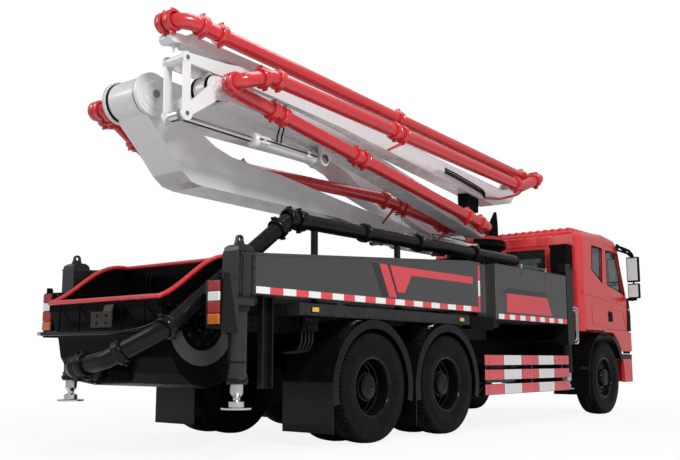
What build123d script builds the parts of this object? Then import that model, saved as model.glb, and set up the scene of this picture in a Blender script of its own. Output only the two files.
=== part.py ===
from build123d import *
import math
import os

# Concrete pump truck, three axles, five-section boom folded for the road.
# Millimetres. Positions are written from the rearmost axle: X forward, Y to the left, Z up
# from the ground. Each node is moved back by x_middle when it is written, so that the
# finished model stands with the middle of its length on the origin.

os.makedirs("parts", exist_ok=True)

FIT = 0.3            # seat between faces that turn or slide on each other

# Axles and wheels
AXLE_REAR = 0.0
AXLE_MIDDLE = 1350.0
AXLE_FRONT = 5775.0
TYRE_RADIUS = 535.0
TYRE_WIDTH = 300.0
RIM_RADIUS = 288.0
TWIN_GAP = 40.0
TRACK_OUTER = 1240.0          # outer face of the outermost tyres, each side
AXLE_Z = TYRE_RADIUS
HUB_RADIUS = 150.0
SPINDLE_RADIUS = 62.0
KINGPIN_Y = 850.0
KNUCKLE_LENGTH = 150.0
FRONT_BEAM_HALF_Y = 790.0

# Ladder frame
RAIL_OUTER_Y = 430.0
RAIL_BOTTOM = 790.0
RAIL_HEIGHT = 270.0
RAIL_FLANGE = 80.0
RAIL_WALL = 9.0
RAIL_REAR = -1150.0
RAIL_FRONT = 6480.0
RAIL_TOP = RAIL_BOTTOM + RAIL_HEIGHT

# Body width and the deck over the frame
SIDE_Y = 1250.0
DECK_HALF_Y = 900.0
DECK_REAR = -1080.0
DECK_FRONT = 3640.0
DECK_BEAM_HEIGHT = 230.0
DECK_PLATE = 15.0
DECK_BEAM_TOP = RAIL_TOP + DECK_BEAM_HEIGHT
DECK_TOP = DECK_BEAM_TOP + DECK_PLATE

# Cab
CAB_REAR = 4975.0
CAB_FRONT = 6830.0
CAB_FLOOR = 1205.0
CAB_LOW = 925.0
CAB_ROOF = 2700.0
CAB_WALL = 45.0
CAB_HALF_Y = 1250.0
WINDSCREEN_FOOT_X = 6775.0
WINDSCREEN_FOOT_Z = 1770.0
WINDSCREEN_HEAD_X = 6440.0
WINDSCREEN_HEAD_Z = 2560.0
DOOR_REAR = 5830.0
DOOR_FRONT = 6640.0
DOOR_BOTTOM = 1250.0
DOOR_SEAM = 6.0
GLASS = 6.0

# Boom pins, X and Z, and the planes that the sections lie in
SLEW_X = 4100.0
PIN_0 = (3780.0, 2640.0)
PIN_A = (-2000.0, 3170.0)
PIN_B = (2975.0, 2480.0)
PIN_C = (-1720.0, 3200.0)
PIN_D = (4105.0, 3300.0)
TIP_E = (-2000.0, 3570.0)
CENTRE_HALF = 210.0           # half width of section 1
SECOND_HALF = 165.0           # half width of section 2
SIDE_PLANE = -660.0           # middle of sections 3, 4 and 5
SIDE_HALF = 110.0
TONGUE_HALF = 75.0
PIPE_RADIUS = 70.0
PIPE_BEND = 95.0
COUPLING_RADIUS = 92.0
COUPLING_WIDTH = 60.0
PIPE_INNER_Y = -880.0         # pipes of sections 3 and 5
PIPE_OUTER_Y = -1080.0        # pipe of section 4
PIPE_SWIVEL_Y = (PIPE_INNER_Y + PIPE_OUTER_Y) / 2
PIPE_1_Y = 490.0
PIPE_2_Y = 660.0
PIPE_2_RIGHT_Y = -360.0
PIPE_BORE = 62.5
OUTLET_X = -2235.0
OUTLET_Y = -600.0
OUTLET_Z = 3667.0

# Turret and slewing ring
RING_RADIUS = 450.0
RING_BOTTOM = 2380.0
RING_TOP = 2480.0
TURRET_RADIUS = 430.0
TURRET_PLATE = 50.0
EAR_INNER = CENTRE_HALF + FIT
EAR_OUTER = EAR_INNER + 30.0
LIFT_ROOT = (3560.0, 2318.0)
LIFT_EYE = (2100.0, 2320.0)
LIFT_Y = 305.0
LIFT_RADIUS = 58.0
LIFT_ROD_RADIUS = 38.0
LIFT_BARREL_LENGTH = 1080.0

# Stabilisers
REAR_HINGE_X = 2200.0
REAR_HINGE_Y = 1135.0
REAR_ARM_REAR = -1860.0
REAR_ARM_INNER = 1035.0
REAR_LEG_X = -1780.0
REAR_LEG_Y = 1150.0
REAR_LEG_SIDE = 190.0
FRONT_LEG_X = 4530.0
FRONT_LEG_Y = 1180.0
FRONT_LEG_SIDE = 140.0
FOOT_Z = 400.0
FOOT_RADIUS = 128.0
FRONT_FOOT_RADIUS = 85.0
JACK_RADIUS = 55.0
JACK_BORE = JACK_RADIUS + FIT

# Hopper
HOPPER_REAR = -2300.0
HOPPER_FRONT = -1300.0
HOPPER_HALF_Y = 780.0
HOPPER_RIM = 1310.0
HOPPER_WALL = 12.0
HOPPER_LOW = 560.0
HOPPER_CREST = (-1450.0, 1700.0)      # top of the raised front edge, X and Z
RIM_TUBE = 21.0
AGITATOR = (-1840.0, 1110.0)
GRATE_TOP = 1275.0
GRATE_PIN = (-1495.0, GRATE_TOP - 15.0 + FIT / 2)

# Concrete delivery pipe beside the boom
DELIVERY_Y = -880.0
DELIVERY_Z = 2110.0
DELIVERY_RADIUS = 75.0

# Front face of the bumper
FRONT_END = 6910.0


def block(x0, x1, y0, y1, z0, z1):
    """Box between two corners."""
    return Pos((x0 + x1) / 2, (y0 + y1) / 2, (z0 + z1) / 2) * Box(abs(x1 - x0), abs(y1 - y0), abs(z1 - z0))


def rod_y(x, z, radius, y0, y1):
    """Round bar along Y."""
    return Pos(x, (y0 + y1) / 2, z) * Rot(90, 0, 0) * Cylinder(radius, abs(y1 - y0))


def rod_z(x, y, radius, z0, z1):
    """Round bar along Z."""
    return Pos(x, y, (z0 + z1) / 2) * Cylinder(radius, z1 - z0)


def rod_x(y, z, radius, x0, x1):
    """Round bar along X."""
    return Pos((x0 + x1) / 2, y, z) * Rot(0, 90, 0) * Cylinder(radius, x1 - x0)


def slab(points, y0, y1):
    """Side outline, given as (X, Z) points, extruded across the truck from y0 to y1."""
    low, high = min(y0, y1), max(y0, y1)
    outline = Polyline(*[(x, low, z) for x, z in points], close=True)
    return extrude(make_face(outline), high - low, dir=(0, 1, 0))


def tube_run(points, radius, bend=PIPE_BEND):
    """Solid pipe along straight runs joined by arcs; bend is one radius or a list."""
    path = FilletPolyline(*points, radius=bend) if len(points) > 2 else Line(*points)
    start = path % 0
    plane = Plane(origin=points[0], z_dir=start)
    return sweep(plane * Circle(radius), path=path)


def coupling(point, along, radius=COUPLING_RADIUS, width=COUPLING_WIDTH):
    """Clamp ring round a pipe at a point."""
    return Plane(origin=point, z_dir=along) * Cylinder(radius, width)


def mirror_y(shape):
    return mirror(shape, about=Plane.XZ)


def both_sides(shape):
    return [shape, mirror_y(shape)]


NODES = {}


def node(name, shapes):
    """Keep a node: one solid, or a list of solids that share a body."""
    NODES[name] = shapes if isinstance(shapes, (list, tuple)) else [shapes]


def fuse(*shapes):
    whole = shapes[0]
    for shape in shapes[1:]:
        whole = whole + shape
    return whole


# Ladder frame: two channel rails and their cross members
def ladder_frame():
    inner = RAIL_OUTER_Y - RAIL_FLANGE
    web = RAIL_OUTER_Y - RAIL_WALL
    section = [
        (RAIL_OUTER_Y, RAIL_BOTTOM), (RAIL_OUTER_Y, RAIL_TOP), (inner, RAIL_TOP),
        (inner, RAIL_TOP - RAIL_WALL), (web, RAIL_TOP - RAIL_WALL),
        (web, RAIL_BOTTOM + RAIL_WALL), (inner, RAIL_BOTTOM + RAIL_WALL), (inner, RAIL_BOTTOM),
    ]
    outline = Polyline(*[(RAIL_REAR, y, z) for y, z in section], close=True)
    rail = extrude(make_face(outline), RAIL_FRONT - RAIL_REAR, dir=(1, 0, 0))
    members = [
        block(x, x + 70, -web, web, RAIL_BOTTOM + 40, RAIL_TOP - 40)
        for x in (RAIL_REAR + 20, 640, 2300, 3450, 4640, RAIL_FRONT - 90)
    ]
    return fuse(rail, mirror_y(rail), *members)


# Wheels
def tyre(y_outer):
    """Tyre section as straight facets, revolved about the axle; y_outer is its outer face."""
    half = TYRE_WIDTH / 2
    middle = y_outer - half
    bead = RIM_RADIUS + FIT
    # radius, distance from the middle plane
    half_section = [
        (bead, half - 35), (bead + 32, half - 12), (TYRE_RADIUS - 95, half),
        (TYRE_RADIUS - 20, half - 12), (TYRE_RADIUS, half - 30),
    ]
    right = [(middle + y, r) for r, y in half_section]
    left = [(middle - y, r) for r, y in reversed(half_section)]
    outline = Polyline(*[(0, y, r) for y, r in right + left], close=True)
    return revolve(make_face(outline), Axis.Y)


def rim(y_inner, y_outer, disc_y, hub_end, seat):
    """Rim barrel from y_inner to y_outer, wheel disc at disc_y and a stepped hub."""
    well = RIM_RADIUS - 26
    # distance along the axle, radius: the section of one side, from the axle outwards
    section = [
        (seat, 0), (seat, HUB_RADIUS + 10), (disc_y - 9, HUB_RADIUS + 25), (disc_y - 9, well),
        (y_inner, well), (y_inner, RIM_RADIUS), (y_outer, RIM_RADIUS), (y_outer, well + 6),
        (disc_y + 9, well), (disc_y + 9, HUB_RADIUS + 20), (disc_y + 60, HUB_RADIUS),
        (hub_end - 30, HUB_RADIUS - 15), (hub_end, HUB_RADIUS - 50), (hub_end, 0),
    ]
    outline = Polyline(*[(0, y, r) for y, r in section], close=True)
    return revolve(make_face(outline), Axis.Y)


def front_wheel():
    inner = TRACK_OUTER - TYRE_WIDTH
    seat = KINGPIN_Y + KNUCKLE_LENGTH + FIT
    return [
        tyre(TRACK_OUTER),
        rim(inner + 30, TRACK_OUTER - 30, TRACK_OUTER - 95, TRACK_OUTER - 10, seat),
    ]


def rear_wheel():
    outer_inner_face = TRACK_OUTER - TYRE_WIDTH
    inner_outer_face = outer_inner_face - TWIN_GAP
    inner_inner_face = inner_outer_face - TYRE_WIDTH
    seat = REAR_SPINDLE_END + FIT
    outer = rim(outer_inner_face - 12, TRACK_OUTER - 30, outer_inner_face + 18, TRACK_OUTER - 75, seat)
    inner_barrel = rod_y(0, 0, RIM_RADIUS, inner_inner_face + 30, outer_inner_face - 12)
    inner_barrel -= rod_y(0, 0, RIM_RADIUS - 26, inner_inner_face + 30, outer_inner_face - 12)
    return [tyre(TRACK_OUTER), tyre(inner_outer_face), fuse(outer, inner_barrel)]


REAR_SPINDLE_END = TRACK_OUTER - TYRE_WIDTH - 60

# name, X of its axle, side (1 left, -1 right), is it a twin wheel
WHEELS = [
    ("wheel_front_r", AXLE_FRONT, -1, False),
    ("wheel_front_l", AXLE_FRONT, 1, False),
    ("wheel_middle_r", AXLE_MIDDLE, -1, True),
    ("wheel_middle_l", AXLE_MIDDLE, 1, True),
    ("wheel_rear_r", AXLE_REAR, -1, True),
    ("wheel_rear_l", AXLE_REAR, 1, True),
]


def wheels():
    patterns = {True: rear_wheel(), False: front_wheel()}
    for name, x, side, twin in WHEELS:
        solids = [Pos(x, 0, AXLE_Z) * solid for solid in patterns[twin]]
        if side < 0:
            solids = [mirror_y(solid) for solid in solids]
        node(name, solids)


# Axles, springs and steering knuckles
SPRING_Y = (440.0, 530.0)
REAR_AXLE_HALF_HEIGHT = 75.0


def rear_axle(x):
    beam = block(x - 70, x + 70, -600, 600, AXLE_Z - REAR_AXLE_HALF_HEIGHT, AXLE_Z + REAR_AXLE_HALF_HEIGHT)
    bowl = rod_x(0, AXLE_Z, 190, x - 130, x + 130)
    spindle = rod_y(x, AXLE_Z, SPINDLE_RADIUS, -REAR_SPINDLE_END, REAR_SPINDLE_END)
    nose = rod_x(0, AXLE_Z + 60, 80, x + 120, x + 300)
    return fuse(beam, bowl, spindle, nose)


def front_axle():
    """Dropped beam with a yoke at each end that holds the knuckle between two jaws."""
    low = AXLE_Z - 110
    # distance from the middle of the truck, height of the top of the beam
    half = [(0, low + 90), (470, low + 90), (620, AXLE_Z + 50), (FRONT_BEAM_HALF_Y, AXLE_Z + 50),
            (FRONT_BEAM_HALF_Y, AXLE_Z - 50), (600, AXLE_Z - 50), (470, low), (0, low)]
    outline = Polyline(*[(AXLE_FRONT - 50, y, z) for y, z in half], close=True)
    right = extrude(make_face(outline), 100, dir=(1, 0, 0))
    boss = rod_z(AXLE_FRONT, KINGPIN_Y, 62, AXLE_Z - 60, AXLE_Z + 60)
    arm = block(AXLE_FRONT - 45, AXLE_FRONT + 45, FRONT_BEAM_HALF_Y - 20, KINGPIN_Y, AXLE_Z - 50, AXLE_Z + 50)
    half_axle = fuse(right, arm, boss)
    pads = [block(AXLE_FRONT - 60, AXLE_FRONT + 60, *SPRING_Y, low + 90, low + 120)]
    half_axle = fuse(half_axle, *pads)
    return fuse(half_axle, mirror_y(half_axle))


def knuckle():
    """Fork over the axle's boss, with the spindle that the hub seats on."""
    jaw = [
        rod_z(AXLE_FRONT, KINGPIN_Y, 60, AXLE_Z + 60 + FIT, AXLE_Z + 105),
        rod_z(AXLE_FRONT, KINGPIN_Y, 60, AXLE_Z - 105, AXLE_Z - 60 - FIT),
    ]
    back = block(AXLE_FRONT - 55, AXLE_FRONT + 55, KINGPIN_Y + 75, KINGPIN_Y + 110, AXLE_Z - 105, AXLE_Z + 105)
    webs = [
        block(AXLE_FRONT - 50, AXLE_FRONT + 50, KINGPIN_Y, KINGPIN_Y + 80, AXLE_Z + 60 + FIT, AXLE_Z + 105),
        block(AXLE_FRONT - 50, AXLE_FRONT + 50, KINGPIN_Y, KINGPIN_Y + 80, AXLE_Z - 105, AXLE_Z - 60 - FIT),
    ]
    spindle = rod_y(AXLE_FRONT, AXLE_Z, SPINDLE_RADIUS, KINGPIN_Y + 105, KINGPIN_Y + KNUCKLE_LENGTH)
    track_arm = block(AXLE_FRONT - 210, AXLE_FRONT, KINGPIN_Y - 40, KINGPIN_Y + 20, AXLE_Z - 105, AXLE_Z - 75)
    return fuse(*jaw, back, *webs, spindle, track_arm)


def spring_pack(x0, x1, z_seat, thickness, drop):
    """Leaf pack: a shallow bow from eye to eye, thickest over its seat."""
    xm = (x0 + x1) / 2
    points = [
        (x0, z_seat + drop), (xm - 120, z_seat), (xm + 120, z_seat), (x1, z_seat + drop),
        (x1, z_seat + drop + 35), (xm + 120, z_seat + thickness), (xm - 120, z_seat + thickness),
        (x0, z_seat + drop + 35),
    ]
    return slab(points, *SPRING_Y)


def springs():
    front_seat = AXLE_Z - 110 + 120
    front = spring_pack(AXLE_FRONT - 800, AXLE_FRONT + 600, front_seat, 90, 130)
    hangers = [
        block(AXLE_FRONT - 840, AXLE_FRONT - 760, RAIL_OUTER_Y + FIT, SPRING_Y[1], front_seat + 130, RAIL_TOP - 60),
        block(AXLE_FRONT + 560, AXLE_FRONT + 640, RAIL_OUTER_Y + FIT, SPRING_Y[1], front_seat + 130, RAIL_TOP - 60),
    ]
    middle = (AXLE_REAR + AXLE_MIDDLE) / 2
    rear_seat = AXLE_Z + REAR_AXLE_HALF_HEIGHT
    rear_points = [
        (AXLE_REAR - 90, rear_seat), (AXLE_REAR + 90, rear_seat), (middle - 150, rear_seat + 60),
        (middle + 150, rear_seat + 60), (AXLE_MIDDLE - 90, rear_seat), (AXLE_MIDDLE + 90, rear_seat),
        (AXLE_MIDDLE + 90, rear_seat + 40), (middle + 150, rear_seat + 190),
        (middle - 150, rear_seat + 190), (AXLE_REAR - 90, rear_seat + 40),
    ]
    rear = slab(rear_points, *SPRING_Y)
    saddle = block(middle - 110, middle + 110, RAIL_OUTER_Y + FIT, SPRING_Y[1], rear_seat + 190, RAIL_TOP - 60)
    return both_sides(fuse(front, *hangers)) + both_sides(fuse(rear, saddle))


# Tanks and engine inside and beside the frame
def engine():
    block_body = block(5150, 6250, -330, 330, 700, RAIL_TOP + 90)
    reach = RAIL_OUTER_Y - RAIL_WALL - FIT
    feet = [block(x, x + 110, -reach, reach, 880, 950) for x in (5300, 6000)]
    return fuse(block_body, *feet)


def tanks():
    hang = [
        block(x, x + 60, RAIL_OUTER_Y + FIT, 620, RAIL_BOTTOM + 30, RAIL_TOP - 60)
        for x in (2350, 3150)
    ]
    fuel = block(2250, 3300, 600, 1150, 480, 1000)
    air = [rod_x(y, 640, 120, 2300, 3100) for y in (800, 1060)]
    cradle = block(2400, 2460, RAIL_OUTER_Y + FIT, 1180, RAIL_BOTTOM - 50, RAIL_BOTTOM + 10)
    cradle_front = block(2940, 3000, RAIL_OUTER_Y + FIT, 1180, RAIL_BOTTOM - 50, RAIL_BOTTOM + 10)
    return [fuse(fuel, *hang), mirror_y(fuse(*air, cradle, cradle_front))]


# Wheel arches and mud flaps
ARCH_RADIUS = 640.0
ARCH_WALL = 8.0
ARCH_INNER_Y = 620.0
REAR_LIP = 75.0
FLAP_BOTTOM = 130.0


def arch(x, start, end, y0, y1, radius=ARCH_RADIUS, wall=ARCH_WALL):
    """Part of a ring round a wheel, from the start angle to the end angle."""
    ring = rod_y(x, AXLE_Z, radius + wall, y0, y1) - rod_y(x, AXLE_Z, radius, y0, y1)
    reach = radius * 3
    wedge_points = [(x, AXLE_Z)]
    steps = 3
    for i in range(steps + 1):
        angle = math.radians(start + (end - start) * i / steps)
        wedge_points.append((x + reach * math.cos(angle), AXLE_Z + reach * math.sin(angle)))
    return ring & slab(wedge_points, y0 - 1, y1 + 1)


def rear_arches():
    pieces = []
    for x in (AXLE_REAR, AXLE_MIDDLE):
        pieces.append(arch(x, -14, 194, ARCH_INNER_Y, SIDE_Y - 10))
        pieces.append(arch(x, -14, 194, SIDE_Y - 24, SIDE_Y - 10, ARCH_RADIUS - REAR_LIP, REAR_LIP + 2))
        flap_x = x - ARCH_RADIUS
        pieces.append(block(flap_x - 12, flap_x, ARCH_INNER_Y, SIDE_Y - 10, FLAP_BOTTOM, AXLE_Z + 60))
    posts = [
        block(x - 25, x + 25, ARCH_INNER_Y, SIDE_Y - 60, AXLE_Z + ARCH_RADIUS + 2, BEAM_BOTTOM - FIT)
        for x in (AXLE_REAR, AXLE_MIDDLE)
    ]
    side = fuse(*pieces, *posts)
    return both_sides(side)


BEAM_BOTTOM = 1190.0
BEAM_TOP = 1295.0
BEAM_REAR = -1130.0
BEAM_FRONT = 1800.0
FRONT_ARCH_RADIUS = 652.0
ARCH_LIP = 70.0
STEP_BOTTOM = 805.0 + FIT
STEP_TOP = 870.0


def front_arches():
    ring = arch(AXLE_FRONT, 30, 184, 700, SIDE_Y - 5, FRONT_ARCH_RADIUS)
    flap = block(AXLE_FRONT - FRONT_ARCH_RADIUS - 12, AXLE_FRONT - FRONT_ARCH_RADIUS, 700, SIDE_Y - 5,
                 300, AXLE_Z + 10)
    stay = block(AXLE_FRONT - 600, AXLE_FRONT - 560, RAIL_OUTER_Y + FIT, 760, RAIL_BOTTOM + 30, RAIL_BOTTOM + 80)
    lip = arch(AXLE_FRONT, 18, 62, SIDE_Y - 25, SIDE_Y - 5, FRONT_ARCH_RADIUS + ARCH_WALL - 1, ARCH_LIP)
    step = block(6400, FRONT_END - 60, 1100, 1235, STEP_BOTTOM, STEP_TOP)
    tread = block(6380, FRONT_END - 70, 1120, 1245, STEP_TOP - 8, STEP_TOP + 8)
    return both_sides(fuse(ring, flap, stay, lip, step, tread))


# Deck: long beams on the frame, plate, side beams with marker lamps
def deck():
    inner = RAIL_OUTER_Y - RAIL_FLANGE
    beams = [
        block(DECK_REAR, DECK_FRONT, inner, RAIL_OUTER_Y, RAIL_TOP, DECK_BEAM_TOP),
        block(DECK_REAR, DECK_FRONT, -RAIL_OUTER_Y, -inner, RAIL_TOP, DECK_BEAM_TOP),
    ]
    plate = block(DECK_REAR, BOX_REAR - 30, -DECK_HALF_Y, DECK_HALF_Y, DECK_BEAM_TOP, DECK_TOP)
    plate += block(BOX_REAR - 40, DECK_FRONT, -BOX_INNER_Y + 20, BOX_INNER_Y - 20, DECK_BEAM_TOP, DECK_TOP)
    right = []
    right.append(block(BEAM_REAR, BEAM_FRONT, SIDE_Y - 150, SIDE_Y, BEAM_BOTTOM, BEAM_TOP))
    for x in (DECK_REAR, 640, BEAM_FRONT - 60):
        right.append(block(x, x + 60, RAIL_OUTER_Y, SIDE_Y - 140, BEAM_BOTTOM + 10, BEAM_TOP - 10))
    lamps = [block(x, x + 90, SIDE_Y - 1, SIDE_Y + 4, 1222, 1262) for x in (-965, 1570)]
    mount = hinge_mount()
    side = fuse(*right, *lamps, mount)
    return fuse(*beams, plate, side, mirror_y(side))


REAR_ARM_BOTTOM = 1343.0
REAR_ARM_TOP_REAR = 1668.0
REAR_ARM_TOP_FRONT = 1920.0
HINGE_RADIUS = 95.0


def hinge_mount():
    """Jaws above and below the knuckle of the swinging stabiliser, and their post."""
    x, y = REAR_HINGE_X, REAR_HINGE_Y
    jaws = []
    for z0, z1 in ((REAR_ARM_BOTTOM - 45, REAR_ARM_BOTTOM - FIT),
                   (REAR_ARM_TOP_FRONT + FIT, REAR_ARM_TOP_FRONT + 45)):
        jaws.append(rod_z(x, y, HINGE_RADIUS, z0, z1))
        jaws.append(block(x - 60, x + 180, 700, y, z0, z1))
    post = block(x + 60, x + 180, 700, 930, DECK_BEAM_TOP, REAR_ARM_TOP_FRONT + 45)
    pins = [rod_z(x, y, 45, REAR_ARM_TOP_FRONT + 40, REAR_ARM_TOP_FRONT + 75),
            rod_z(x, y, 45, REAR_ARM_BOTTOM - 75, REAR_ARM_BOTTOM - 40)]
    floor = block(x - 60, x + 180, 700, 930, REAR_ARM_BOTTOM - 60, REAR_ARM_BOTTOM - 30)
    return fuse(post, floor, *jaws, *pins)


# Swinging rear stabiliser with the leg housing, lifting lug and lamp bracket
def rear_stabiliser(side):
    outer, inner = SIDE_Y, REAR_ARM_INNER
    points = [
        (REAR_ARM_REAR, REAR_ARM_BOTTOM), (2060, REAR_ARM_BOTTOM),
        (2060, REAR_ARM_TOP_FRONT), (1800, REAR_ARM_TOP_FRONT), (REAR_ARM_REAR, REAR_ARM_TOP_REAR),
    ]
    arm = slab(points, inner, outer)
    knuckle_barrel = rod_z(REAR_HINGE_X, REAR_HINGE_Y, HINGE_RADIUS - 5, REAR_ARM_BOTTOM, REAR_ARM_TOP_FRONT)
    neck = block(2040, REAR_HINGE_X, REAR_HINGE_Y - 60, REAR_HINGE_Y + 60, REAR_ARM_BOTTOM + 20,
                 REAR_ARM_TOP_FRONT - 20)
    half = REAR_LEG_SIDE / 2
    leg = block(REAR_LEG_X - half, REAR_LEG_X + half, REAR_LEG_Y - half, REAR_LEG_Y + half, 1240, LEG_TOP_REAR)
    sleeve = rod_z(REAR_LEG_X, REAR_LEG_Y, 78, 620, 1250)
    collar = rod_z(REAR_LEG_X, REAR_LEG_Y, 86, 600, 680)
    bore = rod_z(REAR_LEG_X, REAR_LEG_Y, JACK_BORE, 560, JACK_TOP_REAR + 20)
    joint = block(REAR_LEG_X, REAR_ARM_REAR + 20, REAR_LEG_Y - half, REAR_LEG_Y + half, 1300, 1660)
    x, top = REAR_LEG_X, LEG_TOP_REAR
    cap = slab([(x - half, top - 1), (x + half, top - 1), (x + half - 5, top + 30), (x + 45, top + 55),
                (x - 45, top + 55), (x - half + 5, top + 30)], REAR_LEG_Y - half + 10, REAR_LEG_Y + half - 10)
    lug_plate = slab([(x - 55, top + 50), (x + 55, top + 50), (x + 32, LUG_EYE_Z), (x - 32, LUG_EYE_Z)],
                     REAR_LEG_Y - 15, REAR_LEG_Y + 15)
    lug_head = rod_y(x, LUG_EYE_Z, 36, REAR_LEG_Y - 15, REAR_LEG_Y + 15)
    lug_eye = rod_y(x, LUG_EYE_Z, 20, REAR_LEG_Y - 20, REAR_LEG_Y + 20)
    lug = cap + lug_plate + lug_head - lug_eye
    bracket = block(-2040, REAR_LEG_X - half + 5, REAR_LEG_Y - 110, REAR_LEG_Y + half, 1050, 1440)
    lamp = block(-2060, -2035, REAR_LEG_Y - 50, REAR_LEG_Y + 90, 1075, 1430)
    whole = fuse(arm, knuckle_barrel, neck, leg, sleeve, collar, joint, bracket, lamp) - bore
    whole = whole + lug
    return whole if side > 0 else mirror_y(whole)


LEG_TOP_REAR = 1690.0
LUG_EYE_Z = 1795.0
JACK_TOP_REAR = 1150.0
JACK_TOP_FRONT = 1250.0


def jack(x, y, top, foot_radius):
    """Ram, swivel cup and round foot."""
    # radius, height above the foot's face: plate, swivel cup, ball, ram
    steps = [(foot_radius, 0), (foot_radius, 14), (foot_radius * 0.5, 20), (foot_radius * 0.5, 62), (30, 74),
             (30, 96), (JACK_RADIUS * 0.8, 110), (JACK_RADIUS, 130)]
    outline = Polyline((0, 0, FOOT_Z), *[(r, 0, FOOT_Z + h) for r, h in steps], (JACK_RADIUS, 0, top), (0, 0, top),
                       close=True)
    return Pos(x, y, 0) * revolve(make_face(outline), Axis.Z)


# Sliding front stabilisers in their cross tube
TUBE_WALL = 12.0
TUBE_BOTTOM = RAIL_TOP
TUBE_TOP = 1290.0
TUBE_HALF_X = 80.0
TUBE_END_Y = 1040.0
BEAM_INNER_END = 160.0


def front_tube():
    outer = block(FRONT_LEG_X - TUBE_HALF_X, FRONT_LEG_X + TUBE_HALF_X, -TUBE_END_Y, TUBE_END_Y,
                  TUBE_BOTTOM, TUBE_TOP)
    inner = block(FRONT_LEG_X - TUBE_HALF_X + TUBE_WALL, FRONT_LEG_X + TUBE_HALF_X - TUBE_WALL,
                  -TUBE_END_Y - 1, TUBE_END_Y + 1, TUBE_BOTTOM + TUBE_WALL, TUBE_TOP - TUBE_WALL)
    divider = block(FRONT_LEG_X - TUBE_HALF_X + 2, FRONT_LEG_X + TUBE_HALF_X - 2, -20, 20,
                    TUBE_BOTTOM + 2, TUBE_TOP - 2)
    return outer - inner + divider


def front_beam():
    half = TUBE_HALF_X - TUBE_WALL - 2
    beam = block(FRONT_LEG_X - half, FRONT_LEG_X + half, BEAM_INNER_END, FRONT_LEG_Y,
                 TUBE_BOTTOM + TUBE_WALL + FIT, TUBE_TOP - TUBE_WALL - 2)
    half_leg = FRONT_LEG_SIDE / 2
    leg = block(FRONT_LEG_X - half_leg, FRONT_LEG_X + half_leg, FRONT_LEG_Y - half_leg,
                FRONT_LEG_Y + half_leg, 1000, 2050)
    sleeve = rod_z(FRONT_LEG_X, FRONT_LEG_Y, 68, 620, 1010)
    bore = rod_z(FRONT_LEG_X, FRONT_LEG_Y, JACK_BORE, 560, JACK_TOP_FRONT + 20)
    cap = block(FRONT_LEG_X - 90, FRONT_LEG_X + 70, FRONT_LEG_Y - 60, FRONT_LEG_Y + 70, 2000, 2120)
    return fuse(beam, leg, sleeve, cap) - bore


# Side boxes between the stabilisers
BOX_REAR = 2415.0
BOX_FRONT = 4435.0
BOX_BOTTOM = 1280.0
BOX_TOP = 1945.0
BOX_INNER_Y = 620.0


def side_boxes():
    box = block(BOX_REAR, BOX_FRONT, BOX_INNER_Y, SIDE_Y, BOX_BOTTOM, BOX_TOP)
    step = block(BOX_REAR + 100, BOX_REAR + 1180, RAIL_OUTER_Y + FIT, BOX_INNER_Y + 30, 1225, DECK_BEAM_TOP - FIT)
    handle = [block(x, x + 20, SIDE_Y - 60, SIDE_Y - 40, BOX_TOP, BOX_TOP + 40) for x in (3200, 3900)]
    handle.append(block(3200, 3920, SIDE_Y - 60, SIDE_Y - 40, BOX_TOP + 35, BOX_TOP + 55))
    return both_sides(fuse(box, step, *handle))


GUARD_REAR = 2115.0
GUARD_FRONT = 4435.0


def side_guards():
    boards = [block(GUARD_REAR, GUARD_FRONT, SIDE_Y - 30, SIDE_Y, z, z + 125) for z in (390, 560, 730)]
    posts = []
    for x in (2180, 3350, 4250):
        posts.append(block(x, x + 50, SIDE_Y - 70, SIDE_Y - 29, 390, 855))
        posts.append(block(x, x + 50, RAIL_OUTER_Y + FIT, SIDE_Y - 60, 815, 855))
    return both_sides(fuse(*boards, *posts))


# Pedestal, ring and turret
def pedestal():
    base = block(3660, 4430, -430, 430, RAIL_TOP, 2230)
    drum = rod_z(SLEW_X, 0, 400, 2200, RING_BOTTOM + 1)
    ring = rod_z(SLEW_X, 0, RING_RADIUS, RING_BOTTOM, RING_TOP)
    return fuse(base, drum, ring)


def turret():
    disc = rod_z(SLEW_X, 0, TURRET_RADIUS, RING_TOP + FIT, RING_TOP + TURRET_PLATE)
    floor = RING_TOP + FIT
    points = [
        (3490, 2250), (3640, 2250), (3690, 2380), (3690, floor), (4330, floor), (4330, 2590),
        (3920, 2770), (3680, 2770), (3610, 2680), (3490, 2400),
    ]
    ears = [slab(points, EAR_INNER, EAR_OUTER), slab(points, -EAR_OUTER, -EAR_INNER)]
    web = block(4000, 4330, -EAR_INNER - 5, EAR_INNER + 5, floor + 40, 2590)
    return fuse(disc, *ears, web)


def turret_pipe():
    x, z = PIN_0
    run = [(4150, 0, 2590 + FIT), (4150, 0, 2790), (4150, 335, 2790), (x, 335, z), (x, 410, z)]
    return tube_run(run, PIPE_RADIUS, [95, 95, 70])


# Boom sections
def hub(pin, radius, y0, y1):
    return rod_y(pin[0], pin[1], radius, y0, y1)


def arm_1():
    points = [
        (-2165, 3100), (-1826, 2766), (-1616, 2539), (-1500, 2455), (-1365, 2430), (700, 2392),
        (1500, 2300), (2800, 2248), (3200, 2248), (3380, 2300), (3600, 2540), (3770, 2545), (3790, 2740),
        (3620, 2730), (3400, 2620), (3110, 2368), (2800, 2368), (2400, 2415), (1500, 2520),
        (824, 2590), (-278, 2725), (-978, 2785), (-1208, 2848), (-1457, 2985), (-1850, 3080),
    ]
    body = slab(points, -CENTRE_HALF, CENTRE_HALF)
    rear = hub(PIN_A, 185, -CENTRE_HALF, CENTRE_HALF)
    front = hub(PIN_0, 108, -CENTRE_HALF, CENTRE_HALF)
    eyes = [rod_y(LIFT_EYE[0], LIFT_EYE[1], 70, CENTRE_HALF - 5, CENTRE_HALF + 12),
            rod_y(LIFT_EYE[0], LIFT_EYE[1], 70, -CENTRE_HALF - 12, -CENTRE_HALF + 5)]
    return fuse(body, rear, front, *eyes)


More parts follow.
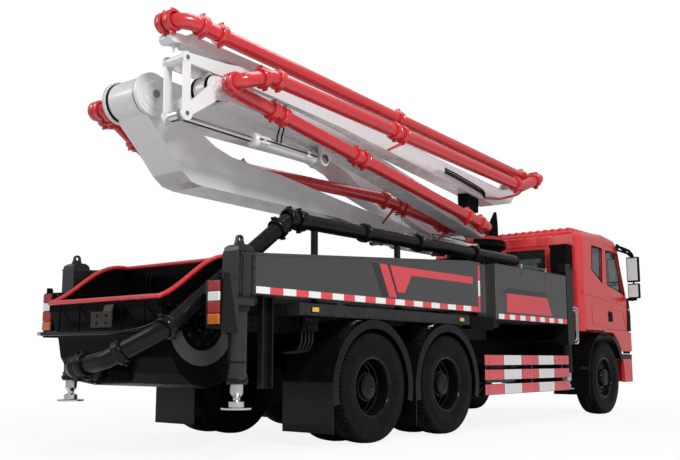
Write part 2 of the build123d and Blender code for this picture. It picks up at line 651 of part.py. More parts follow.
def arm_2():
    ear_in = CENTRE_HALF + FIT
    ear_out = ear_in + 40
    beam_points = [
        (-1690, 3060), (550, 3060), (900, 2965), (1250, 2780), (2900, 2385), (3000, 2480),
        (2900, 2580), (1400, 2965), (900, 3215), (500, 3315), (-1690, 3335),
    ]
    beam = slab(beam_points, -SECOND_HALF, SECOND_HALF)
    block_points = [(-1690, 3060), (-1350, 3060), (-1350, 3335), (-1690, 3335)]
    root = slab(block_points, -ear_out, ear_out)
    ear_points = [(-2000, 2985), (-1660, 3060), (-1660, 3335), (-2000, 3355)]
    ears = []
    for y0, y1 in ((ear_in, ear_out), (-ear_out, -ear_in)):
        ears.append(slab(ear_points, y0, y1))
        ears.append(hub(PIN_A, 190, y0, y1))
    tip = hub(PIN_B, 100, -SECOND_HALF, SECOND_HALF)
    cross = hub(PIN_B, CROSS_RADIUS, SIDE_PLANE + SIDE_HALF + FIT, -SECOND_HALF + 5)
    pins = [hub(PIN_A, 60, ear_out - 2, ear_out + 25), hub(PIN_A, 60, -ear_out - 25, -ear_out + 2)]
    return fuse(beam, root, *ears, tip, cross, *pins)


CROSS_RADIUS = 62.0
SIDE_IN = SIDE_PLANE + SIDE_HALF
SIDE_OUT = SIDE_PLANE - SIDE_HALF


def fork(points, pin, radius):
    """Two cheek plates with a boss round the pin, in the side plane."""
    cheeks = []
    for y0, y1 in ((SIDE_PLANE + TONGUE_HALF + FIT, SIDE_IN), (SIDE_OUT, SIDE_PLANE - TONGUE_HALF - FIT)):
        cheeks.append(slab(points, y0, y1))
        cheeks.append(hub(pin, radius, y0, y1))
    return cheeks


def arm_3():
    beam_points = [
        (-1560, 3110), (-1060, 3080), (80, 2930), (2240, 2520), (2950, 2375), (3050, 2480),
        (2950, 2585), (2240, 2720), (80, 3145), (-1060, 3268), (-1560, 3300),
    ]
    beam = slab(beam_points, SIDE_OUT, SIDE_IN)
    root = hub(PIN_B, 108, SIDE_OUT, SIDE_IN)
    cheeks = fork([(-1720, 3085), (-1540, 3110), (-1540, 3305), (-1720, 3315)], PIN_C, 115)
    x, z = KNEE_ROOT
    brackets = []
    for y0, y1 in ((SIDE_PLANE + 50 + FIT, SIDE_PLANE + 90), (SIDE_PLANE - 90, SIDE_PLANE - 50 - FIT)):
        brackets.append(slab([(x - 60, 2985), (x - 60, z - 30), (x + 55, z - 40), (x + 190, 2950)], y0, y1))
        brackets.append(hub(KNEE_ROOT, 70, y0, y1))
    return fuse(beam, root, *cheeks, *brackets)


def arm_4():
    beam_points = [
        (-1540, 3335), (-1450, 3328), (80, 3212), (3330, 2845), (3800, 2935), (3960, 3090),
        (3850, 3150), (3600, 3085), (250, 3370), (-1450, 3476), (-1540, 3462),
    ]
    beam = slab(beam_points, SIDE_OUT, SIDE_IN)
    tongue_points = [(-1760, 3290), (-1500, 3335), (-1500, 3464), (-1600, 3450)]
    tongue = slab(tongue_points, SIDE_PLANE - TONGUE_HALF, SIDE_PLANE + TONGUE_HALF)
    root = hub(PIN_C, 108, SIDE_PLANE - TONGUE_HALF, SIDE_PLANE + TONGUE_HALF)
    neck = slab([(-1800, 3250), (-1640, 3240), (-1560, 3400), (-1620, 3450)],
                SIDE_PLANE - TONGUE_HALF, SIDE_PLANE + TONGUE_HALF)
    cheeks = fork([(3780, 2950), (3960, 3070), (4195, 3270), (4020, 3350), (3830, 3140)], PIN_D, 95)
    return fuse(beam, tongue, root, neck, *cheeks)


def arm_5():
    x0, z0 = PIN_D
    x1, z1 = TIP_E
    slope = (z1 - z0) / (x1 - x0)

    def line(x, offset):
        return (x, z0 + slope * (x - x0) + offset)

    points = [line(x0 - 30, -65), line(x1, -48), line(x1, 48), line(x0 - 30, 65)]
    beam = slab(points, SIDE_PLANE - TONGUE_HALF, SIDE_PLANE + TONGUE_HALF)
    root = hub(PIN_D, 88, SIDE_PLANE - TONGUE_HALF, SIDE_PLANE + TONGUE_HALF)
    return fuse(beam, root)


# Red concrete pipes on the boom, each in one piece with its couplings
def boom_pipe(points, bends, couplings):
    run = tube_run(points, PIPE_RADIUS, bends)
    rings = []
    for index, share in couplings:
        a, b = Vector(*points[index]), Vector(*points[index + 1])
        rings.append(coupling(tuple(a + (b - a) * share), tuple(b - a)))
    return fuse(run, *rings)


def pipe_1():
    (x0, z0), (xa, za) = PIN_0, PIN_A
    y = PIPE_1_Y
    run = [(x0, 410 + FIT, z0), (x0, y, z0), (3350, y, 2490), (0, y, 2620), (-1500, y, 2850),
           (xa, y, za), (xa, 575, za)]
    return boom_pipe(run, [75, 300, 900, 300, 80], [(2, 0.04), (2, 0.5), (3, 0.1), (4, 0.2)])


def pipe_2():
    (xa, za), (xb, zb) = PIN_A, PIN_B
    y = PIPE_2_Y
    right = PIPE_2_RIGHT_Y
    run = [(xa, 575 + FIT, za), (xa, y, za), (-1500, y, 3080), (-300, y, 2960), (1300, right, 2690),
           (2930, right, 2515)]
    pipe = boom_pipe(run, [80, 300, 500, 500], [(2, 0.2), (3, 0.12), (4, 0.05), (4, 0.3), (4, 0.8)])
    return pipe - hub(PIN_B, CROSS_RADIUS + FIT, -700, 0)


def pipe_3():
    (xb, zb), (xc, zc) = PIN_B, PIN_C
    y = PIPE_INNER_Y
    run = [(xb, SIDE_OUT - FIT, zb), (xb, y, zb), (xc, y, zc), (xc, PIPE_SWIVEL_Y, zc)]
    return boom_pipe(run, [PIPE_BEND, PIPE_BEND], [(1, 0.05), (1, 0.12), (1, 0.6), (1, 0.87)])


def pipe_4():
    (xc, zc), (xd, zd) = PIN_C, PIN_D
    y = PIPE_OUTER_Y
    run = [(xc, PIPE_SWIVEL_Y - FIT, zc), (xc, y, zc), (-1350, y, 3330), (3500, y, 3080), (xd, y, zd),
           (xd, PIPE_SWIVEL_Y - FIT, zd)]
    return boom_pipe(run, [90, 200, 300, 90], [(2, 0.02), (2, 0.4), (2, 0.97)])


def pipe_5():
    xd, zd = PIN_D
    y = PIPE_INNER_Y
    run = [(xd, PIPE_SWIVEL_Y, zd), (xd, y, zd), (OUTLET_X, y, OUTLET_Z), (OUTLET_X, OUTLET_Y, OUTLET_Z)]
    pipe = boom_pipe(run, [PIPE_BEND, 190], [(1, 0.03), (1, 0.5), (1, 0.93)])
    return pipe - rod_y(OUTLET_X, OUTLET_Z, PIPE_BORE, OUTLET_Y - 80, OUTLET_Y + 1)


# Lift cylinders beside section 1
def lift_direction():
    dx, dz = LIFT_EYE[0] - LIFT_ROOT[0], LIFT_EYE[1] - LIFT_ROOT[1]
    length = math.hypot(dx, dz)
    return dx / length, dz / length


def along_lift(distance, y):
    ux, uz = lift_direction()
    return (LIFT_ROOT[0] + ux * distance, y, LIFT_ROOT[1] + uz * distance)


def lift_bar(start, end, y, radius):
    ux, uz = lift_direction()
    middle = along_lift((start + end) / 2, y)
    return Plane(origin=middle, z_dir=(ux, 0, uz)) * Cylinder(radius, end - start)


def lift_barrels():
    sides = []
    for side in (1, -1):
        y = side * LIFT_Y
        eye = rod_y(LIFT_ROOT[0], LIFT_ROOT[1], 62, side * (EAR_OUTER + FIT), side * (LIFT_Y + 62))
        barrel = lift_bar(0, LIFT_BARREL_LENGTH, y, LIFT_RADIUS)
        bore = lift_bar(120, LIFT_BARREL_LENGTH + 1, y, LIFT_ROD_RADIUS + FIT)
        sides.append(eye + barrel - bore)
    return sides


def lift_rods():
    length = math.hypot(LIFT_EYE[0] - LIFT_ROOT[0], LIFT_EYE[1] - LIFT_ROOT[1])
    sides = []
    for side in (1, -1):
        y = side * LIFT_Y
        rod = lift_bar(LIFT_BARREL_LENGTH - 560, length - 20, y, LIFT_ROD_RADIUS)
        eye = rod_y(LIFT_EYE[0], LIFT_EYE[1], 60, side * (CENTRE_HALF + 12 + FIT), side * (LIFT_Y + 60))
        sides.append(rod + eye)
    return sides


# Knee plates of section 4, outside section 3, and the cylinder under section 3
KNEE_TOP = (-2090.0, 3375.0)
KNEE_LOW = (-2080.0, 2880.0)
KNEE_ROOT = (-186.0, 2831.0)
KNEE_PLATES = (SIDE_HALF + 3, SIDE_HALF + 25)
KNEE_BARREL_LENGTH = 965.0
KNEE_ROD_INSIDE = 600.0
KNEE_RADIUS = 68.0
KNEE_ROD_RADIUS = 32.0


def knee_plates():
    """Lug to the upper pin, link to the lower pin and plate back to the hub, one each side."""
    (xt, zt), (xl, zl), (xc, zc) = KNEE_TOP, KNEE_LOW, PIN_C
    pieces = []
    for side in (1, -1):
        y0, y1 = sorted((SIDE_PLANE + side * KNEE_PLATES[0], SIDE_PLANE + side * KNEE_PLATES[1]))
        link = slab([(xl - 38, zl), (xl + 38, zl), (xt + 38, zt), (xt - 38, zt)], y0, y1)
        plate = slab([(xl - 10, zl - 50), (xc + 80, zc - 60), (xc - 20, zc + 80), (xl - 20, zl + 60)], y0, y1)
        lug = slab([(xt, zt - 45), (-1640, 3310), (-1420, 3360), (-1420, 3460), (-1640, 3440), (xt, zt + 45)], y0, y1)
        bosses = [hub(pin, radius, y0, y1) for pin, radius in ((KNEE_TOP, 55), (KNEE_LOW, 60), (PIN_C, 100))]
        foot_in, foot_out = sorted((SIDE_PLANE + side * (SIDE_HALF + FIT), SIDE_PLANE + side * (SIDE_HALF + 4)))
        foot = slab([(-1500, 3350), (-1425, 3365), (-1425, 3450), (-1500, 3440)], foot_in, foot_out)
        pieces.append(fuse(link, plate, lug, foot, *bosses))
    return pieces


def knee_bar(start, end, radius):
    """Round bar along the cylinder's line, by distance from its root pin."""
    dx, dz = KNEE_LOW[0] - KNEE_ROOT[0], KNEE_LOW[1] - KNEE_ROOT[1]
    length = math.hypot(dx, dz)
    ux, uz = dx / length, dz / length
    middle = (start + end) / 2
    centre = (KNEE_ROOT[0] + ux * middle, SIDE_PLANE, KNEE_ROOT[1] + uz * middle)
    return Plane(origin=centre, z_dir=(ux, 0, uz)) * Cylinder(radius, end - start)


def knee_barrel():
    eye = hub(KNEE_ROOT, 62, SIDE_PLANE - 50, SIDE_PLANE + 50)
    neck = knee_bar(0, 100, 46)
    body = knee_bar(95, KNEE_BARREL_LENGTH, KNEE_RADIUS)
    return eye + neck + body - knee_bar(120, KNEE_BARREL_LENGTH + 1, KNEE_ROD_RADIUS + FIT)


def knee_rod():
    length = math.dist(KNEE_ROOT, KNEE_LOW)
    rod = knee_bar(KNEE_ROD_INSIDE, length, KNEE_ROD_RADIUS)
    return rod + hub(KNEE_LOW, 52, SIDE_PLANE - 55, SIDE_PLANE + 55)


# Cab
def cab_outline(inset=0.0):
    """Side outline of the cab body, drawn in by inset all round."""
    i = inset
    return [
        (CAB_REAR + i, CAB_FLOOR + i), (5200, CAB_FLOOR + i), (6400, CAB_FLOOR + i),
        (CAB_FRONT - i, CAB_FLOOR + i), (CAB_FRONT - i, 1500), (WINDSCREEN_FOOT_X - i, WINDSCREEN_FOOT_Z),
        (WINDSCREEN_HEAD_X - i, WINDSCREEN_HEAD_Z), (6330 - i / 2, 2660 - i), (5900, CAB_ROOF - i),
        (5080 + i / 2, 2660 - i), (CAB_REAR + i, 2600 - i / 2),
    ]


DOOR_OUTLINE = [
    (DOOR_REAR, DOOR_BOTTOM), (DOOR_FRONT, DOOR_BOTTOM), (DOOR_FRONT, 1800), (6400, 2500), (DOOR_REAR, 2540),
]
DOOR_WINDOW = [(5935, 1935), (6600, 1815), (6380, 2425), (5935, 2440)]
QUARTER_WINDOW = [(5364, 2119), (5728, 1955), (5764, 2452), (5403, 2464)]


def outline_slab(points, amount, y0, y1):
    """Side outline moved outwards by amount (inwards if negative), extruded from y0 to y1."""
    low, high = min(y0, y1), max(y0, y1)
    face = make_face(Polyline(*[(x, low, z) for x, z in points], close=True))
    return extrude(offset(face, amount=amount, kind=Kind.INTERSECTION), high - low, dir=(0, 1, 0))


CAB_ARCH_RADIUS = 735.0
ROOF_ROUND = 105.0
CORNER_ROUND = 70.0


def cab_skin():
    """Outside of the cab: outline with rounded roof and corners, cheeks cut round the front wheel."""
    body = slab(cab_outline(), -CAB_HALF_Y, CAB_HALF_Y)
    long_edges = [edge for edge in body.edges() if is_roof_edge(edge)]
    body = fillet(long_edges, ROOF_ROUND)
    front = block(6000, CAB_FRONT, -CAB_HALF_Y, CAB_HALF_Y, CAB_LOW, CAB_FLOOR + 20)
    front -= block(5990, CAB_FRONT - 30, -CAB_HALF_Y + CAB_WALL, CAB_HALF_Y - CAB_WALL, CAB_LOW - 1, CAB_FLOOR + 1)
    front -= rod_y(AXLE_FRONT, AXLE_Z, CAB_ARCH_RADIUS, -CAB_HALF_Y - 1, CAB_HALF_Y + 1)
    return body + front


def is_roof_edge(edge):
    """Edges along the sides of the roof, the windscreen and the rear wall."""
    middle = edge @ 0.5
    low = min((edge @ 0).Z, (edge @ 1).Z)
    on_side = abs(abs((edge @ 0).Y) - CAB_HALF_Y) < 1 and abs(abs((edge @ 1).Y) - CAB_HALF_Y) < 1
    same_side = (edge @ 0).Y * (edge @ 1).Y > 0
    return on_side and same_side and middle.Z > CAB_FLOOR + 100 and low >= CAB_FLOOR - 1


DOOR_HINGE_X = DOOR_FRONT + DOOR_SEAM / 2
HINGE_BARREL = 9.0
HINGE_HEIGHT = 40.0
HINGE_LEVELS = (1400.0, 1700.0)


def hinge_barrels(y, radius, lift, grow=0.0):
    """Door hinge barrels on the axis of one side, from each level plus lift."""
    return [rod_z(DOOR_HINGE_X, y, radius, z + lift - grow, z + lift + HINGE_HEIGHT + grow) for z in HINGE_LEVELS]


CAB_PIVOT = (6800.0, 900.0)
CAB_PIVOT_RADIUS = 22.0
BRACKET_END = 20.0
PIVOT_Y = 440.0


def cab_shell():
    shell = cab_skin() - slab(cab_outline(CAB_WALL), -CAB_HALF_Y + CAB_WALL, CAB_HALF_Y - CAB_WALL)
    for y0, y1 in ((CAB_HALF_Y - CAB_WALL, CAB_HALF_Y), (-CAB_HALF_Y, -CAB_HALF_Y + CAB_WALL)):
        cut0, cut1 = y0 - 1, y1 + 1
        shell -= outline_slab(DOOR_OUTLINE, DOOR_SEAM, cut0, cut1)
        shell -= slab(QUARTER_WINDOW, cut0, cut1)
    screen = windscreen_slab(-CAB_HALF_Y + 110, CAB_HALF_Y - 110, 70, 60)
    shell -= screen
    for y0, y1 in REAR_WINDOWS:
        shell -= block(CAB_REAR - 1, CAB_REAR + CAB_WALL + 1, y0, y1, 2040, 2420)
    for y in (CAB_HALF_Y, -CAB_HALF_Y):
        for pocket in hinge_barrels(y, HINGE_BARREL + FIT, HINGE_HEIGHT + FIT, FIT):
            shell -= pocket
        shell = fuse(shell, *hinge_barrels(y, HINGE_BARREL, 0))
    x, z = CAB_PIVOT
    ears = [rod_y(x, z, CAB_PIVOT_RADIUS, PIVOT_Y, PIVOT_Y + 60),
            block(x - CAB_PIVOT_RADIUS, CAB_FRONT - 2, PIVOT_Y, PIVOT_Y + 60, z, CAB_LOW + 30)]
    return fuse(shell, *ears, *[mirror_y(ear) for ear in ears])


REAR_WINDOWS = [(-700.0, -60.0), (60.0, 700.0)]


def windscreen_slab(y0, y1, depth, margin):
    """Slab along the windscreen's slope, from margin above its foot to margin below its head."""
    dx, dz = WINDSCREEN_HEAD_X - WINDSCREEN_FOOT_X, WINDSCREEN_HEAD_Z - WINDSCREEN_FOOT_Z
    length = math.hypot(dx, dz)
    ux, uz = dx / length, dz / length
    nx, nz = uz, -ux
    foot = (WINDSCREEN_FOOT_X + ux * margin, WINDSCREEN_FOOT_Z + uz * margin)
    head = (WINDSCREEN_HEAD_X - ux * margin, WINDSCREEN_HEAD_Z - uz * margin)
    points = [
        (foot[0] + nx * 20, foot[1] + nz * 20), (head[0] + nx * 20, head[1] + nz * 20),
        (head[0] - nx * depth, head[1] - nz * depth), (foot[0] - nx * depth, foot[1] - nz * depth),
    ]
    return slab(points, y0, y1)


def cab_glass():
    """Fixed panes: windscreen, two quarter windows, two rear windows."""
    dx, dz = WINDSCREEN_HEAD_X - WINDSCREEN_FOOT_X, WINDSCREEN_HEAD_Z - WINDSCREEN_FOOT_Z
    length = math.hypot(dx, dz)
    ux, uz = dx / length, dz / length
    nx, nz = uz, -ux
    m = 60 + FIT
    foot = (WINDSCREEN_FOOT_X + ux * m, WINDSCREEN_FOOT_Z + uz * m)
    head = (WINDSCREEN_HEAD_X - ux * m, WINDSCREEN_HEAD_Z - uz * m)
    points = [
        (foot[0] - nx * 14, foot[1] - nz * 14), (head[0] - nx * 14, head[1] - nz * 14),
        (head[0] - nx * (14 + GLASS), head[1] - nz * (14 + GLASS)),
        (foot[0] - nx * (14 + GLASS), foot[1] - nz * (14 + GLASS)),
    ]
    panes = [slab(points, -CAB_HALF_Y + 110 + FIT, CAB_HALF_Y - 110 - FIT)]
    quarter = outline_slab(QUARTER_WINDOW, -FIT, CAB_HALF_Y - 20 - GLASS, CAB_HALF_Y - 20)
    panes += both_sides(quarter)
    for y0, y1 in REAR_WINDOWS:
        panes.append(block(CAB_REAR + 15, CAB_REAR + 15 + GLASS, y0 + FIT, y1 - FIT, 2040 + FIT, 2420 - FIT))
    return panes


def door():
    """Left door, as thick as the cab wall, hung at its front edge."""
    panel = slab(DOOR_OUTLINE, CAB_HALF_Y - CAB_WALL, CAB_HALF_Y)
    panel -= slab(DOOR_WINDOW, CAB_HALF_Y - CAB_WALL - 1, CAB_HALF_Y + 1)
    panel -= block(5920, 6070, CAB_HALF_Y - 18, CAB_HALF_Y + 1, 1400, 1490)
    for pocket in hinge_barrels(CAB_HALF_Y, HINGE_BARREL + FIT, 0, FIT):
        panel -= pocket
    return fuse(panel, *hinge_barrels(CAB_HALF_Y, HINGE_BARREL, HINGE_HEIGHT + FIT))


def door_glass():
    return outline_slab(DOOR_WINDOW, -FIT, CAB_HALF_Y - 24 - GLASS, CAB_HALF_Y - 24)


def seats():
    solids = []
    for y in (-560, 560):
        base = block(5560, 6000, y - 190, y + 190, CAB_FLOOR + CAB_WALL, 1500)
        cushion = block(5540, 6060, y - 250, y + 250, 1500, 1620)
        back = slab([(5540, 1600), (5660, 1620), (5520, 2300), (5400, 2280)], y - 240, y + 240)
        solids.append(fuse(base, cushion, back))
    return solids


def dashboard():
    panel = slab([(6450, 1500), (6560, 1480), (CAB_FRONT - CAB_WALL - 6, 1500), (6700, 1760), (6480, 1720)],
                 -1150, 1150)
    tunnel = block(6560, 6700, -250, 250, CAB_FLOOR + CAB_WALL, 1500)
    column = tube_run([(6520, 560, 1620), (6288, 560, 1810)], 28)
    wheel = Pos(6290, 560, 1808) * Rot(0, -39, 0) * Torus(210, 16)
    spoke = Pos(6290, 560, 1808) * Rot(0, -39, 0) * Box(30, 410, 12)
    return fuse(panel, tunnel, column, spoke, wheel)


BUMPER_TOP = 805.0


def bumper():
    body = slab([(6640, 455), (FRONT_END, 455), (FRONT_END, BUMPER_TOP), (6360, BUMPER_TOP), (6360, 640),
                 (6470, 455)], -1240, 1240)
    front_edges = body.edges().filter_by(Axis.Z).group_by(Axis.X)[-1]
    body = fillet(front_edges, 90)
    pocket = block(6300, FRONT_END - 120, -1190, 1190, 400, 950)
    pocket += rod_y(AXLE_FRONT, AXLE_Z, FRONT_ARCH_RADIUS + ARCH_LIP + 14, -1250, 1250)
    x, z = CAB_PIVOT
    brackets = both_sides(block(RAIL_FRONT + FIT, x, 330, PIVOT_Y - 20, 700, z + BRACKET_END))
    brackets += both_sides(rod_y(x, z, BRACKET_END, 330, PIVOT_Y - 20))
    brackets += both_sides(rod_y(x, z, CAB_PIVOT_RADIUS, PIVOT_Y - 22, PIVOT_Y - FIT))
    (y_in, y_out), (low, high) = LAMP_Y, LAMP_Z
    pods = both_sides(block(FRONT_END - LAMP_DEPTH - FIT, FRONT_END + 1, y_in - FIT, y_out + FIT,
                            low - FIT, high + FIT))
    return fuse(body - pocket - pods[0] - pods[1], *brackets)


LAMP_Y = (740.0, 1120.0)
LAMP_Z = (560.0, 740.0)
LAMP_DEPTH = 100.0


def lamps():
    pod = block(FRONT_END - LAMP_DEPTH, FRONT_END - 4, *LAMP_Y, *LAMP_Z)
    return both_sides(pod)


def cab_trim():
    """Mirrors on their arms, grille and the air intake behind the cab."""
    solids = []
    for side in (1, -1):
        y = side * (CAB_HALF_Y + 130)
        low, high = sorted((side * (CAB_HALF_Y + FIT), side * (CAB_HALF_Y + 160)))
        foot = block(6340, 6390, side * (CAB_HALF_Y + FIT), side * (CAB_HALF_Y + 30), 2545, 2590)
        arm = tube_run([(6365, side * (CAB_HALF_Y + 26), 2568), (6680, y, 2400)], 16)
        lower_arm = block(6690, 6730, low, high, 1720, 1760)
        head = block(6665, 6735, y - 90, y + 90, 2020, 2400) + block(6670, 6735, y - 85, y + 85, 1760, 1980)
        post = rod_z(6700, y, 14, 1740, 2400)
        arm = fuse(foot, arm, lower_arm)
        solids.append(fuse(head, post, arm))
    bars = [block(CAB_FRONT + FIT, CAB_FRONT + 25, -620, 620, z, z + 40) for z in range(1080, 1440, 70)]
    posts = [block(CAB_FRONT + FIT, CAB_FRONT + 15, y - 15, y + 15, 1080, 1430) for y in (-600, 0, 600)]
    solids.append(fuse(*bars, *posts))
    intake = block(4760, 4950, -1130, -880, 1300, 2415)
    foot = block(4900, CAB_REAR - FIT, -1060, -950, 1500, 1600)
    solids.append(intake + foot)
    return solids


# Hopper, pump and delivery line
def hopper_profile(inset):
    """Side outline of the trough, open at the top; inset draws it in."""
    i = inset
    cx, cz, r = (HOPPER_REAR + HOPPER_FRONT) / 2 + 30, HOPPER_LOW + 420, 420 - i
    top = 2 * HOPPER_CREST[1]
    points = [(HOPPER_REAR + i, top), (HOPPER_REAR + i, HOPPER_RIM - 60), (cx - r, cz)]
    steps = 8
    for k in range(1, steps):
        angle = math.pi + math.pi * k / steps
        points.append((cx + r * math.cos(angle), cz + r * math.sin(angle)))
    points += [(cx + r, cz), (HOPPER_FRONT - 100 - i, HOPPER_RIM - 60),
               (HOPPER_CREST[0] - i, HOPPER_CREST[1] - 100), (HOPPER_CREST[0] - i, top)]
    return points


def rim_line(y):
    """Curved side edge from the low rear corner up to the crest."""
    (xr, zr), (xc, zc) = (HOPPER_REAR, HOPPER_RIM), HOPPER_CREST
    return Spline((xr, y, zr), (-2050, y, 1450), (-1830, y, 1605), (xc, y, zc))


def hopper_lid_cut():
    """Everything above the curved rim."""
    top = 2 * HOPPER_CREST[1] + 10
    y = -HOPPER_HALF_Y - 10
    (xr, zr), (xc, zc) = (HOPPER_REAR, HOPPER_RIM), HOPPER_CREST
    edge = rim_line(y)
    rest = Polyline((xc, y, zc), (xc + 400, y, zc), (xc + 400, y, top), (xr - 100, y, top), (xr - 100, y, zr),
                    (xr, y, zr))
    return extrude(make_face(edge + rest), 2 * HOPPER_HALF_Y + 20, dir=(0, 1, 0))


def rim_tubes(radius):
    """Tubes on the hopper's edge: two curved sides, the crest, the rear edge and round corners."""
    sides = []
    for y in (HOPPER_HALF_Y - 6, -HOPPER_HALF_Y + 6):
        line = rim_line(y)
        sides.append(sweep(Plane(origin=line @ 0, z_dir=line % 0) * Circle(radius), path=line))
    (xc, zc) = HOPPER_CREST
    bars = [Pos(x, 0, z) * Rot(90, 0, 0) * Cylinder(radius, 2 * HOPPER_HALF_Y - 12)
            for x, z in ((xc, zc), (HOPPER_REAR, HOPPER_RIM))]
    knobs = [Pos(x, y, z) * Sphere(radius) for x, z in ((xc, zc), (HOPPER_REAR, HOPPER_RIM))
             for y in (HOPPER_HALF_Y - 6, -HOPPER_HALF_Y + 6)]
    return sides + bars + knobs


def hopper():
    outer = slab(hopper_profile(0), -HOPPER_HALF_Y, HOPPER_HALF_Y)
    inner = slab(hopper_profile(HOPPER_WALL), -HOPPER_HALF_Y + HOPPER_WALL, HOPPER_HALF_Y - HOPPER_WALL)
    body = outer - inner - hopper_lid_cut()
    rear_plate = block(HOPPER_REAR - 20, HOPPER_REAR + 2, -90, 90, 1060, HOPPER_RIM - 40)
    outlet = rod_x(0, 720, 130, -2290, -2000) - inner
    carriers = [
        block(HOPPER_FRONT - 56, RAIL_REAR - FIT, y0, y1, RAIL_BOTTOM + 20, RAIL_TOP - 20)
        for y0, y1 in ((350, 430), (-430, -350))
    ]
    xa, za = AGITATOR
    side_parts = []
    for sign in (1, -1):
        y = sign * HOPPER_HALF_Y
        side_parts.append(rod_y(xa, za, 210, y - sign * 2, y + sign * 14))
        side_parts.append(rod_y(xa, za, 120, y, y + sign * 45))
        side_parts.append(rod_y(xa, za, 62, y, y + sign * 95))
        side_parts.append(block(-1500, -1440, y - sign * 2, y + sign * 30, 900, 1530))
        side_parts.append(block(HOPPER_REAR + 40, -1480, y - sign * 2, y + sign * 20, 1225, 1262))
    ledges = [block(HOPPER_REAR + 10, GRATE_PIN[0] - 20, y0, y1, GRATE_TOP - 50, GRATE_TOP - 30)
              for y0, y1 in ((HOPPER_HALF_Y - 65, HOPPER_HALF_Y - 5), (-HOPPER_HALF_Y + 5, -HOPPER_HALF_Y + 65))]
    whole = fuse(body, rear_plate, outlet, *carriers, *side_parts, *ledges)
    for tube in rim_tubes(RIM_TUBE + FIT):
        whole = whole - tube
    return whole


def grate():
    """Bars in a frame that turns on the round bar at its front edge."""
    x0, x1 = HOPPER_REAR + 40, GRATE_PIN[0]
    half = HOPPER_HALF_Y - RIM_TUBE - 20
    z0, z1 = GRATE_TOP - 30 + FIT, GRATE_TOP
    frame = block(x0, x1, -half, half, z0, z1)
    frame -= block(x0 + 30, x1 - 30, -half + 30, half - 30, z0 - 1, z1 + 1)
    bars = [block(x0 + 20, x1 - 20, y - 6, y + 6, z0, z1) for y in range(-640, 660, 80)]
    cross = [block(x - 6, x + 6, -half + 20, half - 20, z0, z1) for x in (x0 + 260, x1 - 260)]
    return fuse(frame, *bars, *cross, rod_y(*GRATE_PIN, (z1 - z0) / 2, -half, half))


def delivery_pipe():
    y = DELIVERY_Y
    run = [
        (-2290 - FIT, 0, 720), (-2600, 0, 720), (-2560, -460, 800), (-2330, y, 1035), (-870, y, DELIVERY_Z),
        (3800, y, DELIVERY_Z), (3800, -430 - FIT, DELIVERY_Z),
    ]
    pipe = tube_run(run, DELIVERY_RADIUS, [120, 180, 200, 300, 220])
    rings = []
    for x in (-700, 300, 1300, 2550):
        rings.append(coupling((x, y, DELIVERY_Z), (1, 0, 0), 92))
    stands = [block(x - 20, x + 20, y - 20, y + 20, BOX_TOP + FIT, DELIVERY_Z) for x in (2700, 3400)]
    posts = [block(x - 25, x + 25, y - 25, y + 25, DECK_TOP + FIT, DELIVERY_Z) for x in (-500, 900)]
    return fuse(pipe, *rings, *stands, *posts)


def pump_cylinders():
    tubes = [rod_x(y, 1175, 105, HOPPER_FRONT + FIT, 2600) for y in (-150, 150)]
    box = block(900, 1250, -300, 300, RAIL_TOP + FIT, DECK_BEAM_TOP - 2)
    return fuse(*tubes, box)


# Nodes
node("chassis_frame", ladder_frame())
wheels()
node("axles", [rear_axle(AXLE_REAR), rear_axle(AXLE_MIDDLE), front_axle()] + springs())
node("knuckle_l", knuckle())
node("knuckle_r", mirror_y(knuckle()))
node("engine_block", engine())
node("tanks", tanks())
node("rear_arches", rear_arches())
node("front_arches", front_arches())
node("deck", deck())
node("side_boxes", side_boxes())
node("side_guards", side_guards())
node("rear_stabiliser_l", rear_stabiliser(1))
node("rear_stabiliser_r", rear_stabiliser(-1))
node("front_tube", front_tube())
node("front_stabiliser_l", front_beam())
node("front_stabiliser_r", mirror_y(front_beam()))
for side_name, sign in (("l", 1), ("r", -1)):
    node(f"jack_rear_{side_name}", jack(REAR_LEG_X, sign * REAR_LEG_Y, JACK_TOP_REAR, FOOT_RADIUS))
    node(f"jack_front_{side_name}", jack(FRONT_LEG_X, sign * FRONT_LEG_Y, JACK_TOP_FRONT, FRONT_FOOT_RADIUS))
node("pedestal", pedestal())
node("turret", turret())
node("turret_pipe", turret_pipe())
node("arm_1", arm_1())
node("arm_2", arm_2())
node("arm_3", arm_3())
node("arm_4", arm_4())
node("arm_5", arm_5())
node("pipe_1", pipe_1())
node("pipe_2", pipe_2())
node("pipe_3", pipe_3())
node("pipe_4", pipe_4())
node("pipe_5", pipe_5())
node("lift_barrels", lift_barrels())
node("lift_rods", lift_rods())
node("knee_plates", knee_plates())
node("knee_barrel", knee_barrel())
node("knee_rod", knee_rod())
node("cab_shell", cab_shell())
node("cab_glass", cab_glass())
node("door_l", door())
node("door_r", mirror_y(door()))
node("door_glass_l", door_glass())
node("door_glass_r", mirror_y(door_glass()))
node("seats", seats())
node("dashboard", dashboard())
node("cab_trim", cab_trim())
node("bumper", bumper())
node("headlamps", lamps())
node("hopper", hopper())
node("hopper_rim", fuse(*rim_tubes(RIM_TUBE)))
node("hopper_grate", grate())
node("delivery_pipe", delivery_pipe())
node("pump_cylinders", pump_cylinders())

extent = Compound(children=[solid for solids in NODES.values() for solid in solids]).bounding_box()
x_middle = round((extent.min.X + extent.max.X) / 2, 1)
print("x_middle", x_middle, "length", extent.size.X)
for name, solids in NODES.items():
    placed = []
    for solid in solids:
        placed += (Pos(-x_middle, 0, 0) * solid).solids()
    shape = placed[0] if len(placed) == 1 else Compound(children=placed)
    export_step(shape, f"parts/{name}.step")
print(len(NODES), "nodes")
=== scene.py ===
"""Concrete pump truck: materials, wheels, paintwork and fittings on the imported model."""

from math import atan2, copysign, cos, exp, hypot, pi, radians, sin, tan

import bmesh
import bpy
from mathutils import Matrix, Vector


